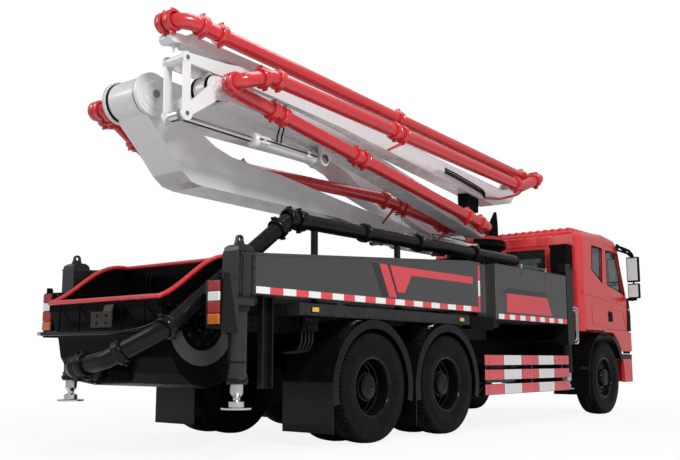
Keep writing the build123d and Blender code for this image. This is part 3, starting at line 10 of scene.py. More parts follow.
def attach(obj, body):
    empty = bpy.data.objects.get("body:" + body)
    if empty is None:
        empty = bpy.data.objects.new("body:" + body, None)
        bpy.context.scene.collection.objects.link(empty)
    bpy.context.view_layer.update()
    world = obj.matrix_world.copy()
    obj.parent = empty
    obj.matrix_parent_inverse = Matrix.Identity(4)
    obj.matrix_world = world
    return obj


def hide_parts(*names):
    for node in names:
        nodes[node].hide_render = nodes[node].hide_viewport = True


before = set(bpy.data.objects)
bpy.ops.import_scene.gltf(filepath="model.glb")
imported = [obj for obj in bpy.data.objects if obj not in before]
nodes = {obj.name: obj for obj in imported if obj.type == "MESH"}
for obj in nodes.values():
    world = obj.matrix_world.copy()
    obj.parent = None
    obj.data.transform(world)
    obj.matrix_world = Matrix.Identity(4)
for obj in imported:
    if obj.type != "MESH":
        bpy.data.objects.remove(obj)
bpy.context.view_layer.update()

# The tables below use the CAD's millimetres, measured from the rearmost axle.
X_MIDDLE = 2122.9
SIDES = {"l": 1, "r": -1}
AHEAD, OUT, UP = (1, 0, 0), (0, 1, 0), (0, 0, 1)


def spot(x, y, z):
    return Vector(((x - X_MIDDLE) / 1000, y / 1000, z / 1000))


# Camera at the photograph's place
camera_data = bpy.data.cameras.new("camera")
camera_data.lens = 45.51
camera_data.sensor_width = 36
camera_data.clip_end = 400
camera = bpy.data.objects.new("camera", camera_data)
camera.location = (-8.9239, -6.262, 0.801)
camera.rotation_euler = (radians(90 + 8.56), 0, radians(38.78 - 90))
bpy.context.scene.collection.objects.link(camera)
bpy.context.scene.camera = camera


# Materials
def srgb(red, green, blue):
    values = []
    for channel in (red, green, blue):
        c = channel / 255
        values.append(c / 12.92 if c <= 0.04045 else ((c + 0.055) / 1.055) ** 2.4)
    return (*values, 1)


def node(tree, kind, inputs, **values):
    """New node; inputs names its sockets, each with a value or the socket that feeds it."""
    made = tree.nodes.new(kind)
    for key, value in values.items():
        setattr(made, key, value)
    for key, value in inputs.items():
        if isinstance(value, bpy.types.NodeSocket):
            tree.links.new(value, made.inputs[key])
        else:
            made.inputs[key].default_value = value
    return made


def shaded(colour, factor):
    return tuple(min(1, c * factor) for c in colour[:3]) + (1,)


class Paint:
    """Node graph of one material, with helpers for its usual parts."""

    def __init__(self, name):
        self.material = bpy.data.materials.new(name)
        self.material.use_nodes = True
        self.tree = self.material.node_tree
        self.shader = self.tree.nodes["Principled BSDF"]
        self.coord = self.tree.nodes.new("ShaderNodeTexCoord").outputs["Object"]

    def add(self, kind, inputs, **values):
        """Outputs of a new node."""
        return node(self.tree, kind, inputs, **values).outputs

    def noise(self, scale, detail):
        inputs = {"Vector": self.coord, "Scale": scale, "Detail": detail}
        return self.add("ShaderNodeTexNoise", inputs)["Fac"]

    def spread(self, value, low, high, a, b):
        inputs = {"Value": value, "From Min": low, "From Max": high, "To Min": a, "To Max": b}
        return self.add("ShaderNodeMapRange", inputs)["Result"]

    def uneven(self, scale, detail, a, b):
        return self.spread(self.noise(scale, detail), 0.3, 0.7, a, b)

    def math(self, operation, a, b):
        return self.add("ShaderNodeMath", {0: a, 1: b}, operation=operation)["Value"]

    def mix(self, factor, a, b):
        made = node(self.tree, "ShaderNodeMix", {"Factor": factor}, data_type="RGBA")
        colours = [s for s in made.inputs if s.type == "RGBA"]
        for socket, value in zip(colours, (a, b)):
            if isinstance(value, tuple):
                socket.default_value = value
            else:
                self.tree.links.new(value, socket)
        return [s for s in made.outputs if s.type == "RGBA"][0]

    def bump(self, height, strength, distance):
        inputs = {"Height": height, "Strength": strength, "Distance": distance}
        self.tree.links.new(self.add("ShaderNodeBump", inputs)["Normal"], self.shader.inputs["Normal"])

    def done(self, shade, rough, slot, **values):
        """Material with its colour, its roughness and the shader's other numbers."""
        self.tree.links.new(shade, self.shader.inputs["Base Color"])
        self.tree.links.new(rough, self.shader.inputs["Roughness"])
        for key, value in values.items():
            self.shader.inputs[key.replace("_", " ")].default_value = value
        self.material["slot"] = slot
        return self.material


DUST = srgb(112, 108, 100)


def surface(name, colour, rough, vary=0.1, patch=2.5, grain=260, relief=0.05, dust=0.0, slot=None,
            behind=None, **rest):
    """Paint, plastic or metal with patches, grain, uneven gloss and dust that thins with height.

    behind is an X in the CAD's millimetres and the colour that the surface has rearwards of it."""
    p = Paint(name)
    shade = p.mix(p.uneven(patch, 5, 0, 1), shaded(colour, 1 - vary), shaded(colour, 1 + vary * 0.6))
    place_on = p.add("ShaderNodeSeparateXYZ", {"Vector": p.coord})
    if behind:
        is_behind = p.math("LESS_THAN", place_on["X"], (behind[0] - X_MIDDLE) / 1000)
        shade = p.mix(is_behind, shade, behind[1])
    if dust:
        low = p.spread(place_on["Z"], 0.15, 1.5, dust, dust * 0.12)
        spots = p.spread(p.noise(7, 6), 0.35, 0.75, 0, 1)
        shade = p.mix(p.math("MULTIPLY", low, spots), shade, DUST)
    if relief:
        p.bump(p.noise(grain, 2), relief, 0.002)
    return p.done(shade, p.uneven(patch * 6, 4, max(0.03, rough - 0.07), rough + 0.09),
                  slot or name, **rest)


def gloss(name, colour, dust):
    """Clean lacquer under a clear coat."""
    return surface(name, colour, 0.24, vary=0.03, patch=1.1, grain=420, relief=0.012, dust=dust,
                   Coat_Weight=0.5, Coat_Roughness=0.07)


BLACK_GLOSS = {"Coat_Weight": 0.16, "Coat_Roughness": 0.08, "Specular_IOR_Level": 0.12}
DULL = {"Specular_IOR_Level": 0.04}
SOFT_GLOSS = {"Coat_Weight": 0.3, "Coat_Roughness": 0.15}
LEG_BLACK = srgb(24, 24, 25)

boom_paint = gloss("boom_white", srgb(218, 216, 217), dust=0.03)
pipe_paint = gloss("pipe_red", srgb(196, 40, 46), dust=0.02)
cab_paint = gloss("cab_red", srgb(214, 54, 56), dust=0.03)
panel_paint = surface("panel_grey", srgb(60, 59, 58), 0.36, vary=0.05, relief=0.03, dust=0.04, **SOFT_GLOSS)
arm_paint = surface("arm_grey", srgb(56, 56, 55), 0.34, vary=0.05, relief=0.03, dust=0.04,
                    slot="panel_grey", behind=(-1684.0, LEG_BLACK), **SOFT_GLOSS)
leg_paint = surface("leg_black", srgb(22, 22, 23), 0.26, vary=0.1, relief=0.03, dust=0.03,
                    slot="panel_grey", **BLACK_GLOSS)
chassis_paint = surface("chassis_black", srgb(7, 7, 8), 0.34, vary=0.2, relief=0.03, dust=0.005, **DULL)
line_paint = surface("line_black", srgb(16, 16, 17), 0.24, vary=0.12, relief=0.006, dust=0.02,
                     slot="chassis_black", **BLACK_GLOSS)
hopper_paint = surface("hopper_black", srgb(7, 7, 8), 0.3, vary=0.25, patch=4, grain=90, relief=0.06,
                       dust=0.006, **DULL)
arch_plastic = surface("arch_plastic", srgb(12, 12, 13), 0.26, vary=0.12, grain=500, relief=0.02, dust=0.02,
                       slot="chassis_black", **BLACK_GLOSS)
trim_plastic = surface("cabin_black", srgb(15, 15, 16), 0.42, vary=0.12, grain=700, relief=0.08, **DULL)
grey_plastic = surface("cabin_grey", srgb(74, 74, 78), 0.6, vary=0.1, grain=700, relief=0.25,
                       slot="cabin_black")
rubber = surface("tyre", srgb(19, 18, 18), 0.46, vary=0.15, patch=9, grain=320, relief=0.15,
                 dust=0.04, **DULL)
seal_rubber = surface("seal_rubber", srgb(10, 10, 11), 0.6, vary=0.1, grain=500, relief=0.1,
                      slot="cabin_black", **DULL)
rim_paint = surface("rim_black", srgb(11, 11, 12), 0.2, vary=0.15, patch=8, relief=0.008, dust=0.01,
                    slot="chassis_black", **BLACK_GLOSS)
bright = surface("bright_steel", srgb(205, 206, 208), 0.16, vary=0.05, grain=160, relief=0.03, Metallic=1.0)
# Mirror glass with a pale colour of its own: a painted reflection of the bright surroundings.
mirror_painted_reflection = surface("mirror_painted_reflection", srgb(226, 229, 231), 0.08, vary=0.03, relief=0.0, slot="bright_steel",
                      Metallic=0.15, Coat_Weight=0.6, Coat_Roughness=0.03)
plain_steel = surface("plain_steel", srgb(150, 150, 152), 0.34, vary=0.12, grain=200, relief=0.1,
                      slot="bright_steel", Metallic=1.0)
dark_steel = surface("dark_steel", srgb(46, 46, 48), 0.36, vary=0.2, grain=200, relief=0.08,
                     slot="chassis_black", Metallic=0.8)
rust_steel = surface("rust_steel", srgb(50, 43, 37), 0.5, vary=0.25, patch=14, grain=200, relief=0.2,
                     slot="chassis_black", Metallic=0.4)
engine_paint = surface("engine_grey", srgb(60, 62, 64), 0.45, vary=0.2, relief=0.15, dust=0.06)
tank_paint = surface("tank_grey", srgb(40, 40, 42), 0.3, vary=0.1, grain=120, relief=0.04,
                     dust=0.04, Metallic=0.4)
decal_black = surface("decal_black", srgb(28, 28, 29), 0.3, vary=0.06, relief=0.02,
                      slot="panel_grey", **SOFT_GLOSS)
decal_red = surface("decal_red", srgb(204, 62, 70), 0.32, vary=0.04, relief=0.02,
                    slot="guard_red", **SOFT_GLOSS)
guard_paint = gloss("guard_red", srgb(212, 72, 82), dust=0.03)
lacquer_white = surface("lacquer_white", srgb(222, 220, 220), 0.34, vary=0.03, relief=0.02, dust=0.03,
                        slot="boom_white", **SOFT_GLOSS)


def checker(name, colour, slot):
    """Raised diamond plate."""
    p = Paint(name)
    heights = []
    for turn in (45, -45):
        turned = p.add("ShaderNodeMapping", {"Vector": p.coord, "Rotation": (0, 0, radians(turn))})
        wave = p.add("ShaderNodeTexWave", {"Vector": turned["Vector"], "Scale": 9}, wave_type="BANDS")
        heights.append(p.spread(wave["Fac"], 0.72, 0.9, 0, 1))
    raised = p.math("MULTIPLY", heights[0], heights[1])
    p.bump(raised, 0.8, 0.004)
    shade = p.mix(p.uneven(6, 5, 0, 1), shaded(colour, 0.8), colour)
    shade = p.mix(p.math("MULTIPLY", p.spread(p.noise(3, 6), 0.45, 0.75, 0, 1), 0.08), shade, DUST)
    return p.done(shade, p.spread(raised, 0, 1, 0.55, 0.3), slot, Metallic=0.4)


def retro(name, colour):
    """Reflective marking tape with its fine honeycomb."""
    p = Paint(name)
    cells = p.add("ShaderNodeTexVoronoi", {"Vector": p.coord, "Scale": 260}, feature="DISTANCE_TO_EDGE")
    edge = p.spread(cells["Distance"], 0, 0.08, 0, 1)
    p.bump(edge, 0.15, 0.001)
    return p.done(p.mix(edge, shaded(colour, 1.15), colour), p.uneven(30, 3, 0.22, 0.36), "guard_red")


def lens(name, colour, clear=0.35):
    """Moulded lamp cover with fine prisms."""
    p = Paint(name)
    inputs = {"Vector": p.coord, "Scale": 40}
    p.bump(p.add("ShaderNodeTexWave", inputs, wave_type="BANDS", bands_direction="Z")["Fac"], 0.3, 0.002)
    shade = p.mix(p.uneven(25, 2, 0, 1), shaded(colour, 0.75), colour)
    return p.done(shade, p.uneven(12, 2, 0.06, 0.14), "lamp_lens", Transmission_Weight=clear,
                  Coat_Weight=0.5)


def glass(name):
    """Tinted safety glass with a trace of dust."""
    p = Paint(name)
    dusty = p.spread(p.noise(4, 5), 0.4, 0.75, 0, 0.35)
    shade = p.mix(dusty, srgb(128, 138, 140), srgb(150, 150, 146))
    return p.done(shade, p.uneven(9, 4, 0.01, 0.06), "window", Transmission_Weight=0.92, IOR=1.45)


def cloth(name, colour):
    """Woven seat fabric."""
    p = Paint(name)
    waves = []
    for direction in ("Y", "Z"):
        inputs = {"Vector": p.coord, "Scale": 190, "Distortion": 0.6}
        wave = p.add("ShaderNodeTexWave", inputs, wave_type="BANDS", bands_direction=direction)
        waves.append(wave["Fac"])
    weave = p.math("MULTIPLY", waves[0], waves[1])
    p.bump(weave, 0.5, 0.001)
    shade = p.mix(weave, shaded(colour, 0.55), colour)
    return p.done(shade, p.uneven(20, 3, 0.78, 0.92), "cabin_black", Sheen_Weight=0.4)


deck_plate = checker("deck_plate", srgb(40, 40, 41), "chassis_black")
tape_red = retro("tape_red", srgb(214, 70, 76))
tape_white = retro("tape_white", srgb(228, 226, 224))
lens_red = lens("lens_red", srgb(190, 22, 24))
lens_amber = lens("lens_amber", srgb(242, 128, 34))
lens_yellow = lens("lens_yellow", srgb(250, 196, 92), 0.2)
lens_clear = lens("lens_clear", srgb(232, 234, 238), 0.75)
window = glass("window")
seat_cloth = cloth("seat_cloth", srgb(66, 66, 72))
seat_side = cloth("seat_side", srgb(34, 34, 37))


def dress(material, *names):
    for name in names:
        materials = nodes[name].data.materials
        materials.clear()
        materials.append(material)


dress(chassis_paint, "chassis_frame", "axles", "knuckle_l", "knuckle_r", "front_tube", "pump_cylinders")
dress(engine_paint, "engine_block")
dress(tank_paint, "tanks")
dress(arch_plastic, "rear_arches", "front_arches")
dress(deck_plate, "deck")
dress(panel_paint, "side_boxes")
dress(arm_paint, "rear_stabiliser_l", "rear_stabiliser_r")
dress(chassis_paint, "pedestal")
dress(leg_paint, "front_stabiliser_l", "front_stabiliser_r")
dress(line_paint, "side_guards", "delivery_pipe")
dress(pipe_paint, "turret", "turret_pipe", "pipe_1", "pipe_2", "pipe_3", "pipe_4", "pipe_5", "hopper_rim")
dress(boom_paint, "arm_1", "arm_2", "arm_3", "arm_4", "arm_5", "knee_plates", "lift_barrels", "knee_barrel")
dress(bright, "lift_rods", "knee_rod", "jack_rear_l", "jack_rear_r", "jack_front_l", "jack_front_r")
dress(cab_paint, "cab_shell", "door_l", "door_r", "bumper")
dress(window, "cab_glass", "door_glass_l", "door_glass_r")
dress(trim_plastic, "cab_trim", "seats")
dress(grey_plastic, "dashboard")
dress(lens_clear, "headlamps")
dress(hopper_paint, "hopper")
dress(dark_steel, "hopper_grate")


# Mesh building in the CAD's millimetres
def turn_to(direction):
    return Vector(direction).normalized().to_track_quat("Z", "Y").to_matrix().to_4x4()


class Build:
    """Gathers shapes into one mesh after the other; with letter r they are mirrored to the right."""

    def __init__(self, letter="", body=None):
        self.bm = bmesh.new()
        self.body = body
        self.side = SIDES.get(letter, 1)
        self.suffix = letter and f"_{letter}"

    def flip(self, v):
        return (v[0], v[1] * self.side, v[2])

    def spot(self, x, y, z):
        return spot(x, y * self.side, z)

    def box(self, x0, x1, y0, y1, z0, z1):
        a, b = self.spot(x0, y0, z0), self.spot(x1, y1, z1)
        size = [max(abs(b[i] - a[i]), 1e-5) for i in range(3)]
        matrix = Matrix.Translation((a + b) / 2) @ Matrix.Diagonal((*size, 1))
        bmesh.ops.create_cube(self.bm, size=1, matrix=matrix)

    def rod(self, start, end, radius, end_radius=None, segments=20):
        a, b = self.spot(*start), self.spot(*end)
        matrix = Matrix.Translation((a + b) / 2) @ turn_to(b - a)
        radius_2 = radius if end_radius is None else end_radius
        bmesh.ops.create_cone(self.bm, cap_ends=True, segments=segments, radius1=radius / 1000,
                              radius2=radius_2 / 1000, depth=(b - a).length, matrix=matrix)

    def bolt(self, at, normal, radius=11, height=9):
        at, normal = Vector(at), Vector(normal).normalized()
        self.rod(at - normal, at + normal * 3, radius * 1.45, segments=16)
        self.rod(at, at + normal * height, radius, segments=6)

    def bolt_circle(self, centre, normal, radius, count, size=11, height=9):
        m = turn_to(self.flip(normal))
        for k in range(count):
            angle = 2 * pi * k / count
            out = m @ Vector((cos(angle), sin(angle), 0)) * radius
            self.bolt(Vector(centre) + Vector(self.flip(out)), normal, size, height)

    def prism(self, points, y0, y1):
        """Side outline of (X, Z) points, from y0 to y1."""
        low, high = sorted((y0 * self.side, y1 * self.side))
        rows = [[self.bm.verts.new(spot(x, y, z)) for x, z in points] for y in (low, high)]
        self.close(rows)

    def close(self, rows, ends=True):
        count = len(rows[0])
        for a, b in zip(rows, rows[1:]):
            for i in range(count):
                j = (i + 1) % count
                self.bm.faces.new((a[i], a[j], b[j], b[i]))
        if ends:
            self.bm.faces.new(list(reversed(rows[0])))
            self.bm.faces.new(rows[-1])

    def ring(self, points, grow, y0, y1):
        """Frame round a side outline, grow wide, from y0 to y1."""
        outer = grown(points, grow)
        rows = []
        for outline, y in ((points, y0), (outer, y0), (outer, y1), (points, y1)):
            rows.append([self.bm.verts.new(self.spot(x, y, z)) for x, z in outline])
        self.close(rows + [rows[0]], ends=False)

    def lathe(self, centre, axis, profile, segments=48):
        """Profile of (distance along the axis, radius) points, turned about the axis."""
        m = turn_to(self.flip(axis)).to_3x3()
        middle = self.spot(*centre)
        rows = []
        for along, radius in profile:
            row = []
            for k in range(segments if radius else 1):
                a = 2 * pi * k / segments
                p = Vector((radius * cos(a), radius * sin(a), along)) / 1000
                row.append(self.bm.verts.new(middle + m @ p))
            rows.append(row)
        for a, b in zip(rows, rows[1:]):
            for i in range(segments):
                j = (i + 1) % segments
                corners = [a[i % len(a)], a[j % len(a)], b[j % len(b)], b[i % len(b)]]
                unique = []
                for v in corners:
                    if v not in unique:
                        unique.append(v)
                if len(unique) > 2:
                    self.bm.faces.new(unique)

    def pipe(self, points, radius, bend=40, segments=12):
        """Bent steel tube along the points."""
        path = rounded([Vector(self.flip(p)) for p in points], bend)
        rows = []
        normal = None
        for i, p in enumerate(path):
            before, after = path[max(i - 1, 0)], path[min(i + 1, len(path) - 1)]
            tangent = (after - before).normalized()
            if normal is None:
                normal = tangent.orthogonal().normalized()
            normal = (normal - tangent * normal.dot(tangent)).normalized()
            across = tangent.cross(normal)
            row = []
            for k in range(segments):
                a = 2 * pi * k / segments
                q = p + (normal * cos(a) + across * sin(a)) * radius
                row.append(self.bm.verts.new(spot(*q)))
            rows.append(row)
        self.close(rows)

    def mesh(self, name):
        bmesh.ops.recalc_face_normals(self.bm, faces=self.bm.faces)
        mesh = bpy.data.meshes.new(name)
        self.bm.to_mesh(mesh)
        self.bm.free()
        self.bm = bmesh.new()
        return mesh

    def done(self, name, material, bevel=0, body=None, tail=""):
        """Places the shapes gathered so far as one piece and starts the next."""
        name = f"{name}{self.suffix}{tail}"
        place(name, self.mesh(name), material, body or self.body, bevel)

    def shape(self, name, points, material, face, thick=1.4):
        """Painted area on a side face."""
        self.prism(points, face, face + thick)
        self.done(name, material, 0.4)

    def tape(self, name, x0, x1, z0, z1, count, face, upright=False, white_first=0):
        """Alternating red and white blocks on a side face."""
        for number, (colour, material) in enumerate((("red", tape_red), ("white", tape_white))):
            for k in range((number - white_first) % 2, count, 2):
                if upright:
                    low, high = (z0 + (z1 - z0) * i / count for i in (k, k + 1))
                    self.box(x0, x1, face, face + 1.6, low, high)
                else:
                    low, high = (x0 + (x1 - x0) * i / count for i in (k, k + 1))
                    self.box(low, high, face, face + 1.6, z0, z1)
            self.done(name, material, 0.4, tail=f"_{colour}")


def place(name, mesh, material, body, bevel=0.0, angle=38, matrix=None):
    mesh.materials.clear()
    mesh.materials.append(material)
    mesh.shade_smooth()
    mesh.set_sharp_from_angle(angle=radians(angle))
    piece = bpy.data.objects.new(name, mesh)
    bpy.context.scene.collection.objects.link(piece)
    if matrix:
        piece.matrix_world = matrix
    if bevel:
        rounding = piece.modifiers.new("edges", "BEVEL")
        rounding.width = bevel / 1000
        rounding.segments = 2
        rounding.limit_method = "ANGLE"
        rounding.angle_limit = radians(40)
        rounding.harden_normals = True
    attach(piece, body)
    return piece


def grown(points, amount):
    """Outline moved outwards by amount."""
    area = sum(a[0] * b[1] - b[0] * a[1] for a, b in zip(points, points[1:] + points[:1]))
    sign = 1 if area > 0 else -1
    count = len(points)
    result = []
    for i in range(count):
        p, c, n = Vector(points[i - 1]), Vector(points[i]), Vector(points[(i + 1) % count])
        d0, d1 = (c - p).normalized(), (n - c).normalized()
        n0, n1 = Vector((d0.y, -d0.x)) * sign, Vector((d1.y, -d1.x)) * sign
        half = (n0 + n1).normalized()
        result.append(tuple(c + half * (amount / max(0.3, half.dot(n0)))))
    return result


def rounded(points, bend, steps=6):
    """Points with each corner turned into an arc."""
    path = [points[0]]
    for a, b, c in zip(points, points[1:], points[2:]):
        d0, d1 = (b - a).normalized(), (c - b).normalized()
        turn = d0.angle(d1)
        if turn < 0.02:
            path.append(b)
            continue
        cut = min(bend * tan(turn / 2), (b - a).length * 0.45, (c - b).length * 0.45)
        start, end = b - d0 * cut, b + d1 * cut
        for k in range(steps + 1):
            t = k / steps
            path.append(start * (1 - t) ** 2 + b * 2 * t * (1 - t) + end * t ** 2)
    path.append(points[-1])
    return path


# Wheels
TYRE_HALF = [
    (113, 289), (125, 297), (136, 311), (138, 320), (144, 345), (149, 390), (150, 398), (150, 412),
    (148, 416), (148, 440), (145, 462), (142, 488), (138, 505), (131, 517), (96, 528), (93, 515),
    (84, 515), (81, 530), (46, 533), (43, 520), (33, 520), (30, 534), (10, 535),
]
TREAD_PITCHES = 74
PITCH_STEPS = (0.0, 0.05, 0.27, 0.32)


def tyre_mesh():
    b = Build()
    section = [(-y, r) for y, r in TYRE_HALF] + [(y, r) for y, r in reversed(TYRE_HALF)]
    rows = []
    for pitch in range(TREAD_PITCHES):
        for number, share in enumerate(PITCH_STEPS):
            notched = number in (1, 2)
            angle = 2 * pi * (pitch + share) / TREAD_PITCHES
            row = []
            for y, r in section:
                lean = 0.012 * (abs(y) / 130)
                if notched and abs(y) >= 96 and r > 480:
                    r -= 12
                elif notched and 46 <= abs(y) <= 81:
                    r -= 6
                a = angle + lean
                row.append(b.bm.verts.new(Vector((r * cos(a), y, r * sin(a))) / 1000))
            rows.append(row)
    for near, far in zip(rows, rows[1:] + rows[:1]):
        for i in range(len(section) - 1):
            b.bm.faces.new((near[i], near[i + 1], far[i + 1], far[i]))
    return b.mesh("tyre")


def holed_disc(build, inner, outer, y0, y1, count, hole, hole_at):
    """Wheel disc with round hand holes, about the Y axis at the origin of the wheel."""
    def vert(r, a, y):
        return build.bm.verts.new(Vector((r * cos(a), y, r * sin(a))) / 1000)

    for k in range(count):
        a0, a1 = 2 * pi * k / count, 2 * pi * (k + 1) / count
        middle = (a0 + a1) / 2
        corners = [(inner, a0), (inner, a1), (outer, a1), (outer, a0)]
        edge = []
        for (r0, t0), (r1, t1) in zip(corners, corners[1:] + corners[:1]):
            edge += [(r0 + (r1 - r0) * i / 4, t0 + (t1 - t0) * i / 4) for i in range(4)]
        circle = []
        for i in range(16):
            phi = radians(225 - 22.5 * i)
            radial, tangent = hole_at + hole * cos(phi), hole * sin(phi)
            circle.append((hypot(radial, tangent), middle + atan2(tangent, radial)))
        layers = []
        for y in (y0, y1):
            layers.append(([vert(r, a, y) for r, a in edge], [vert(r, a, y) for r, a in circle]))
        for outline, round_hole in layers:
            for i in range(16):
                j = (i + 1) % 16
                build.bm.faces.new((outline[i], outline[j], round_hole[j], round_hole[i]))
        low, high = layers[0][1], layers[1][1]
        for i in range(16):
            j = (i + 1) % 16
            build.bm.faces.new((low[i], low[j], high[j], high[i]))


def rim_mesh(front):
    """Rim, disc and hub; distances along Y are measured from the middle of the truck."""
    b = Build()
    centre = (X_MIDDLE, 0, 0)
    if front:
        barrel = [(972, 290), (972, 268), (990, 258), (1140, 258), (1160, 262), (1196, 266), (1208, 274),
                  (1214, 288), (1214, 300), (1209, 303), (1202, 298), (1198, 289)]
        hub = [(1140, 158), (1158, 154), (1160, 132), (1200, 126), (1214, 116), (1226, 104), (1229, 84),
               (1224, 78), (1224, 40), (1228, 36), (1228, 0)]
        disc, holes, cap_bolts = (1136, 1146), (10, 20), (1159, 143, 12)
    else:
        barrel = [(932, 290), (932, 268), (950, 258), (990, 258), (996, 250), (1004, 250), (1010, 258),
                  (1056, 258), (1062, 251), (1070, 251), (1076, 258), (1150, 258), (1172, 264), (1200, 268),
                  (1209, 275), (1214, 288), (1214, 300), (1209, 303), (1202, 298), (1198, 289)]
        hub = [(956, 165), (990, 160), (1010, 158), (1014, 148), (1112, 144), (1124, 140), (1128, 122),
               (1158, 118), (1164, 108), (1164, 60), (1158, 54), (1158, 0)]
        disc, holes, cap_bolts = (948, 958), (8, 27), (1127, 131, 14)
        b.lathe(centre, OUT, [(634, 289), (634, 266), (650, 258), (915, 258), (932, 268), (932, 289)])
    b.lathe(centre, OUT, barrel, 72)
    b.lathe(centre, OUT, hub)
    holed_disc(b, 150, 260, *disc, *holes, 222)
    nuts = Build()
    nuts.bolt_circle((X_MIDDLE, disc[1], 0), OUT, 184, 10, 14, 24)
    face, radius, count = cap_bolts
    nuts.bolt_circle((X_MIDDLE, face, 0), OUT, radius, count, 7, 7)
    kind = "front" if front else "rear"
    return b.mesh(f"rim_{kind}"), nuts.mesh(f"nuts_{kind}")


WHEELS = [("front", 5775.0, True), ("middle", 1350.0, False), ("rear", 0.0, False)]
AXLE_Z = 535.0


def wheels():
    tyre = tyre_mesh()
    rims = {True: rim_mesh(True), False: rim_mesh(False)}
    for axle, x, front in WHEELS:
        for letter, side in SIDES.items():
            body = f"wheel_{axle}_{letter}"
            turn = Matrix.Rotation(0 if side > 0 else pi, 4, "Z")
            for row, y in enumerate((1090,) if front else (1090, 750)):
                at = Matrix.Translation(spot(x, side * y, AXLE_Z)) @ turn
                piece = place(f"tyre_{axle}_{letter}_{row}", tyre, rubber, body, matrix=at, angle=30)
                if row == 0:
                    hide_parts(body)
            at = Matrix.Translation(spot(x, 0, AXLE_Z)) @ turn
            rim, nuts = rims[front]
            place(f"rim_{axle}_{letter}", rim, rim_paint, body, matrix=at)
            place(f"nuts_{axle}_{letter}", nuts, dark_steel, body, matrix=at)


wheels()


# Fittings on the sides
OUTER_FACE, PANEL_FACE, FRAME_FACE = 1250, 1254, 430
ARM_HINGE = (2200, 1135)
REAR_LEG = (-1780.0, 1150.0)
ARM_REAR = -1860.0
ARM_DECALS = [
    ("bar_a", decal_black, [(-62, 1742), (58, 1742), (222, 1420), (102, 1420)]),
    ("bar_b", decal_red, [(60, 1742), (198, 1742), (364, 1420), (226, 1420)]),
    ("bar_c", decal_black, [(200, 1742), (238, 1742), (398, 1420), (366, 1420)]),
    ("flash", decal_red, [(242, 1742), (1890, 1742), (1886, 1664), (628, 1664), (496, 1476), (372, 1476)]),
]


def rear_stabilisers():
    for letter in SIDES:
        body = f"rear_stabiliser_{letter}"
        b = Build(letter, body)
        for name, material, points in ARM_DECALS:
            b.shape(f"arm_{name}", points, material, OUTER_FACE)
        b.tape("arm_tape", -1676, 2000, 1346, 1404, 22, OUTER_FACE, white_first=1)
        b.tape("arm_end_tape", 2006, 2052, 1350, 1890, 3, OUTER_FACE, upright=True)
        top = [(ARM_REAR, 1650), (1798, 1902), (2058, 1902), (2058, 1924), (1796, 1924), (ARM_REAR, 1672)]
        b.prism(top, 1030, 1256)
        b.box(2050, 2064, 1036, 1256, 1345, 1918)
        b.box(ARM_REAR, 2058, 1036, 1254, 1338, 1346)
        b.done("arm_edges", arm_paint, 2.5)
        x, y = REAR_LEG
        for dx in (-80, 80):
            for z in (1330, 1440, 1550, 1640):
                b.bolt((x + dx, y + 95, z), OUT, 10, 8)
        for dx in (-60, 60):
            for dy in (-60, 60):
                b.bolt((x + dx, y + dy, 1240), (0, 0, -1), 9, 8)
        b.done("leg_bolts", dark_steel, 0.6)
        b.box(x - 98, x + 98, y + 94, y + 101, 1300, 1318)
        b.box(x - 98, x + 98, y + 94, y + 101, 1672, 1690)
        b.box(x - 62, x - 50, y + 94, y + 104, 1318, 1672)
        b.box(x + 50, x + 62, y + 94, y + 104, 1318, 1672)
        b.box(x - 92, x + 92, y - 92, y + 92, 1236, 1256)
        b.lathe((x, y, 0), UP, [(612, 86), (612, 96), (640, 96), (648, 88)], 40)
        b.lathe((x, y, 0), UP, [(1190, 79), (1190, 92), (1222, 96), (1236, 96)], 40)
        b.lathe((x, y, 0), UP, [(770, 79), (770, 84), (786, 84), (786, 79)], 40)
        b.prism([(-2040, 1492), (-1978, 1492), (-1873, 1010), (-2060, 1010)], 1240, 1247)
        b.done("leg_plates", leg_paint, 2)
        b.box(-1490, -1352, 1090, 1102, 556, 1343)
        b.box(-1490, -1474, 1090, 1150, 556, 1343)
        b.box(-1368, -1352, 1090, 1150, 556, 1343)
        b.box(-1500, -1342, 1080, 1160, 1326, 1343)
        b.done("arm_channel", leg_paint, 2)
        lamp(b)


def lamp(b):
    """Rear lamp: red, white, red and orange from the top, in a black housing."""
    b.box(-2066, -2034, 1094, 1246, 1068, 1438)
    b.box(-2040, -2000, 1120, 1220, 1150, 1360)
    b.done("lamp_housing", trim_plastic, 9)
    bands = [("red_top", 1344, 1428, lens_red), ("white", 1264, 1340, lacquer_white),
             ("red_low", 1166, 1260, lens_red), ("orange", 1078, 1162, lens_amber)]
    for name, z0, z1, material in bands:
        b.box(-2082, -2060, 1104, 1236, z0, z1)
        b.done(f"lamp_{name}", material, 7)


rear_stabilisers()


def deck_fittings():
    for letter in SIDES:
        b = Build(letter, "chassis")
        for number, x in enumerate((-965, 1570)):
            b.box(x - 6, x + 96, 1250, 1255, 1214, 1270)
            b.done("marker_base", trim_plastic, 3, tail=f"_{number}")
            b.box(x, x + 90, 1253, 1262, 1221, 1263)
            b.done("marker_lens", lens_yellow, 4, tail=f"_{number}")
        for x in range(-1050, 1800, 190):
            b.bolt((x, OUTER_FACE, 1204), OUT, 7, 5)
        for x in range(-900, 2300, 400):
            b.bolt((x, FRAME_FACE, 1180), OUT, 11, 9)
            b.bolt((x, FRAME_FACE, 1100), OUT, 11, 9)
        for x in range(-1000, 6400, 320):
            for z in (830, 1020):
                b.bolt((x, FRAME_FACE, z), OUT, 9, 7)
        b.done("frame_bolts", dark_steel, 0.6)
        b.lathe((*ARM_HINGE, 0), UP, [(1918, 96), (1966, 96), (1972, 90), (1972, 60), (1996, 58),
                                      (2000, 50), (2000, 0)], 40)
        b.bolt_circle((*ARM_HINGE, 1966), UP, 76, 8, 8, 7)
        b.done("hinge_cap", chassis_paint, 1.5)


deck_fittings()


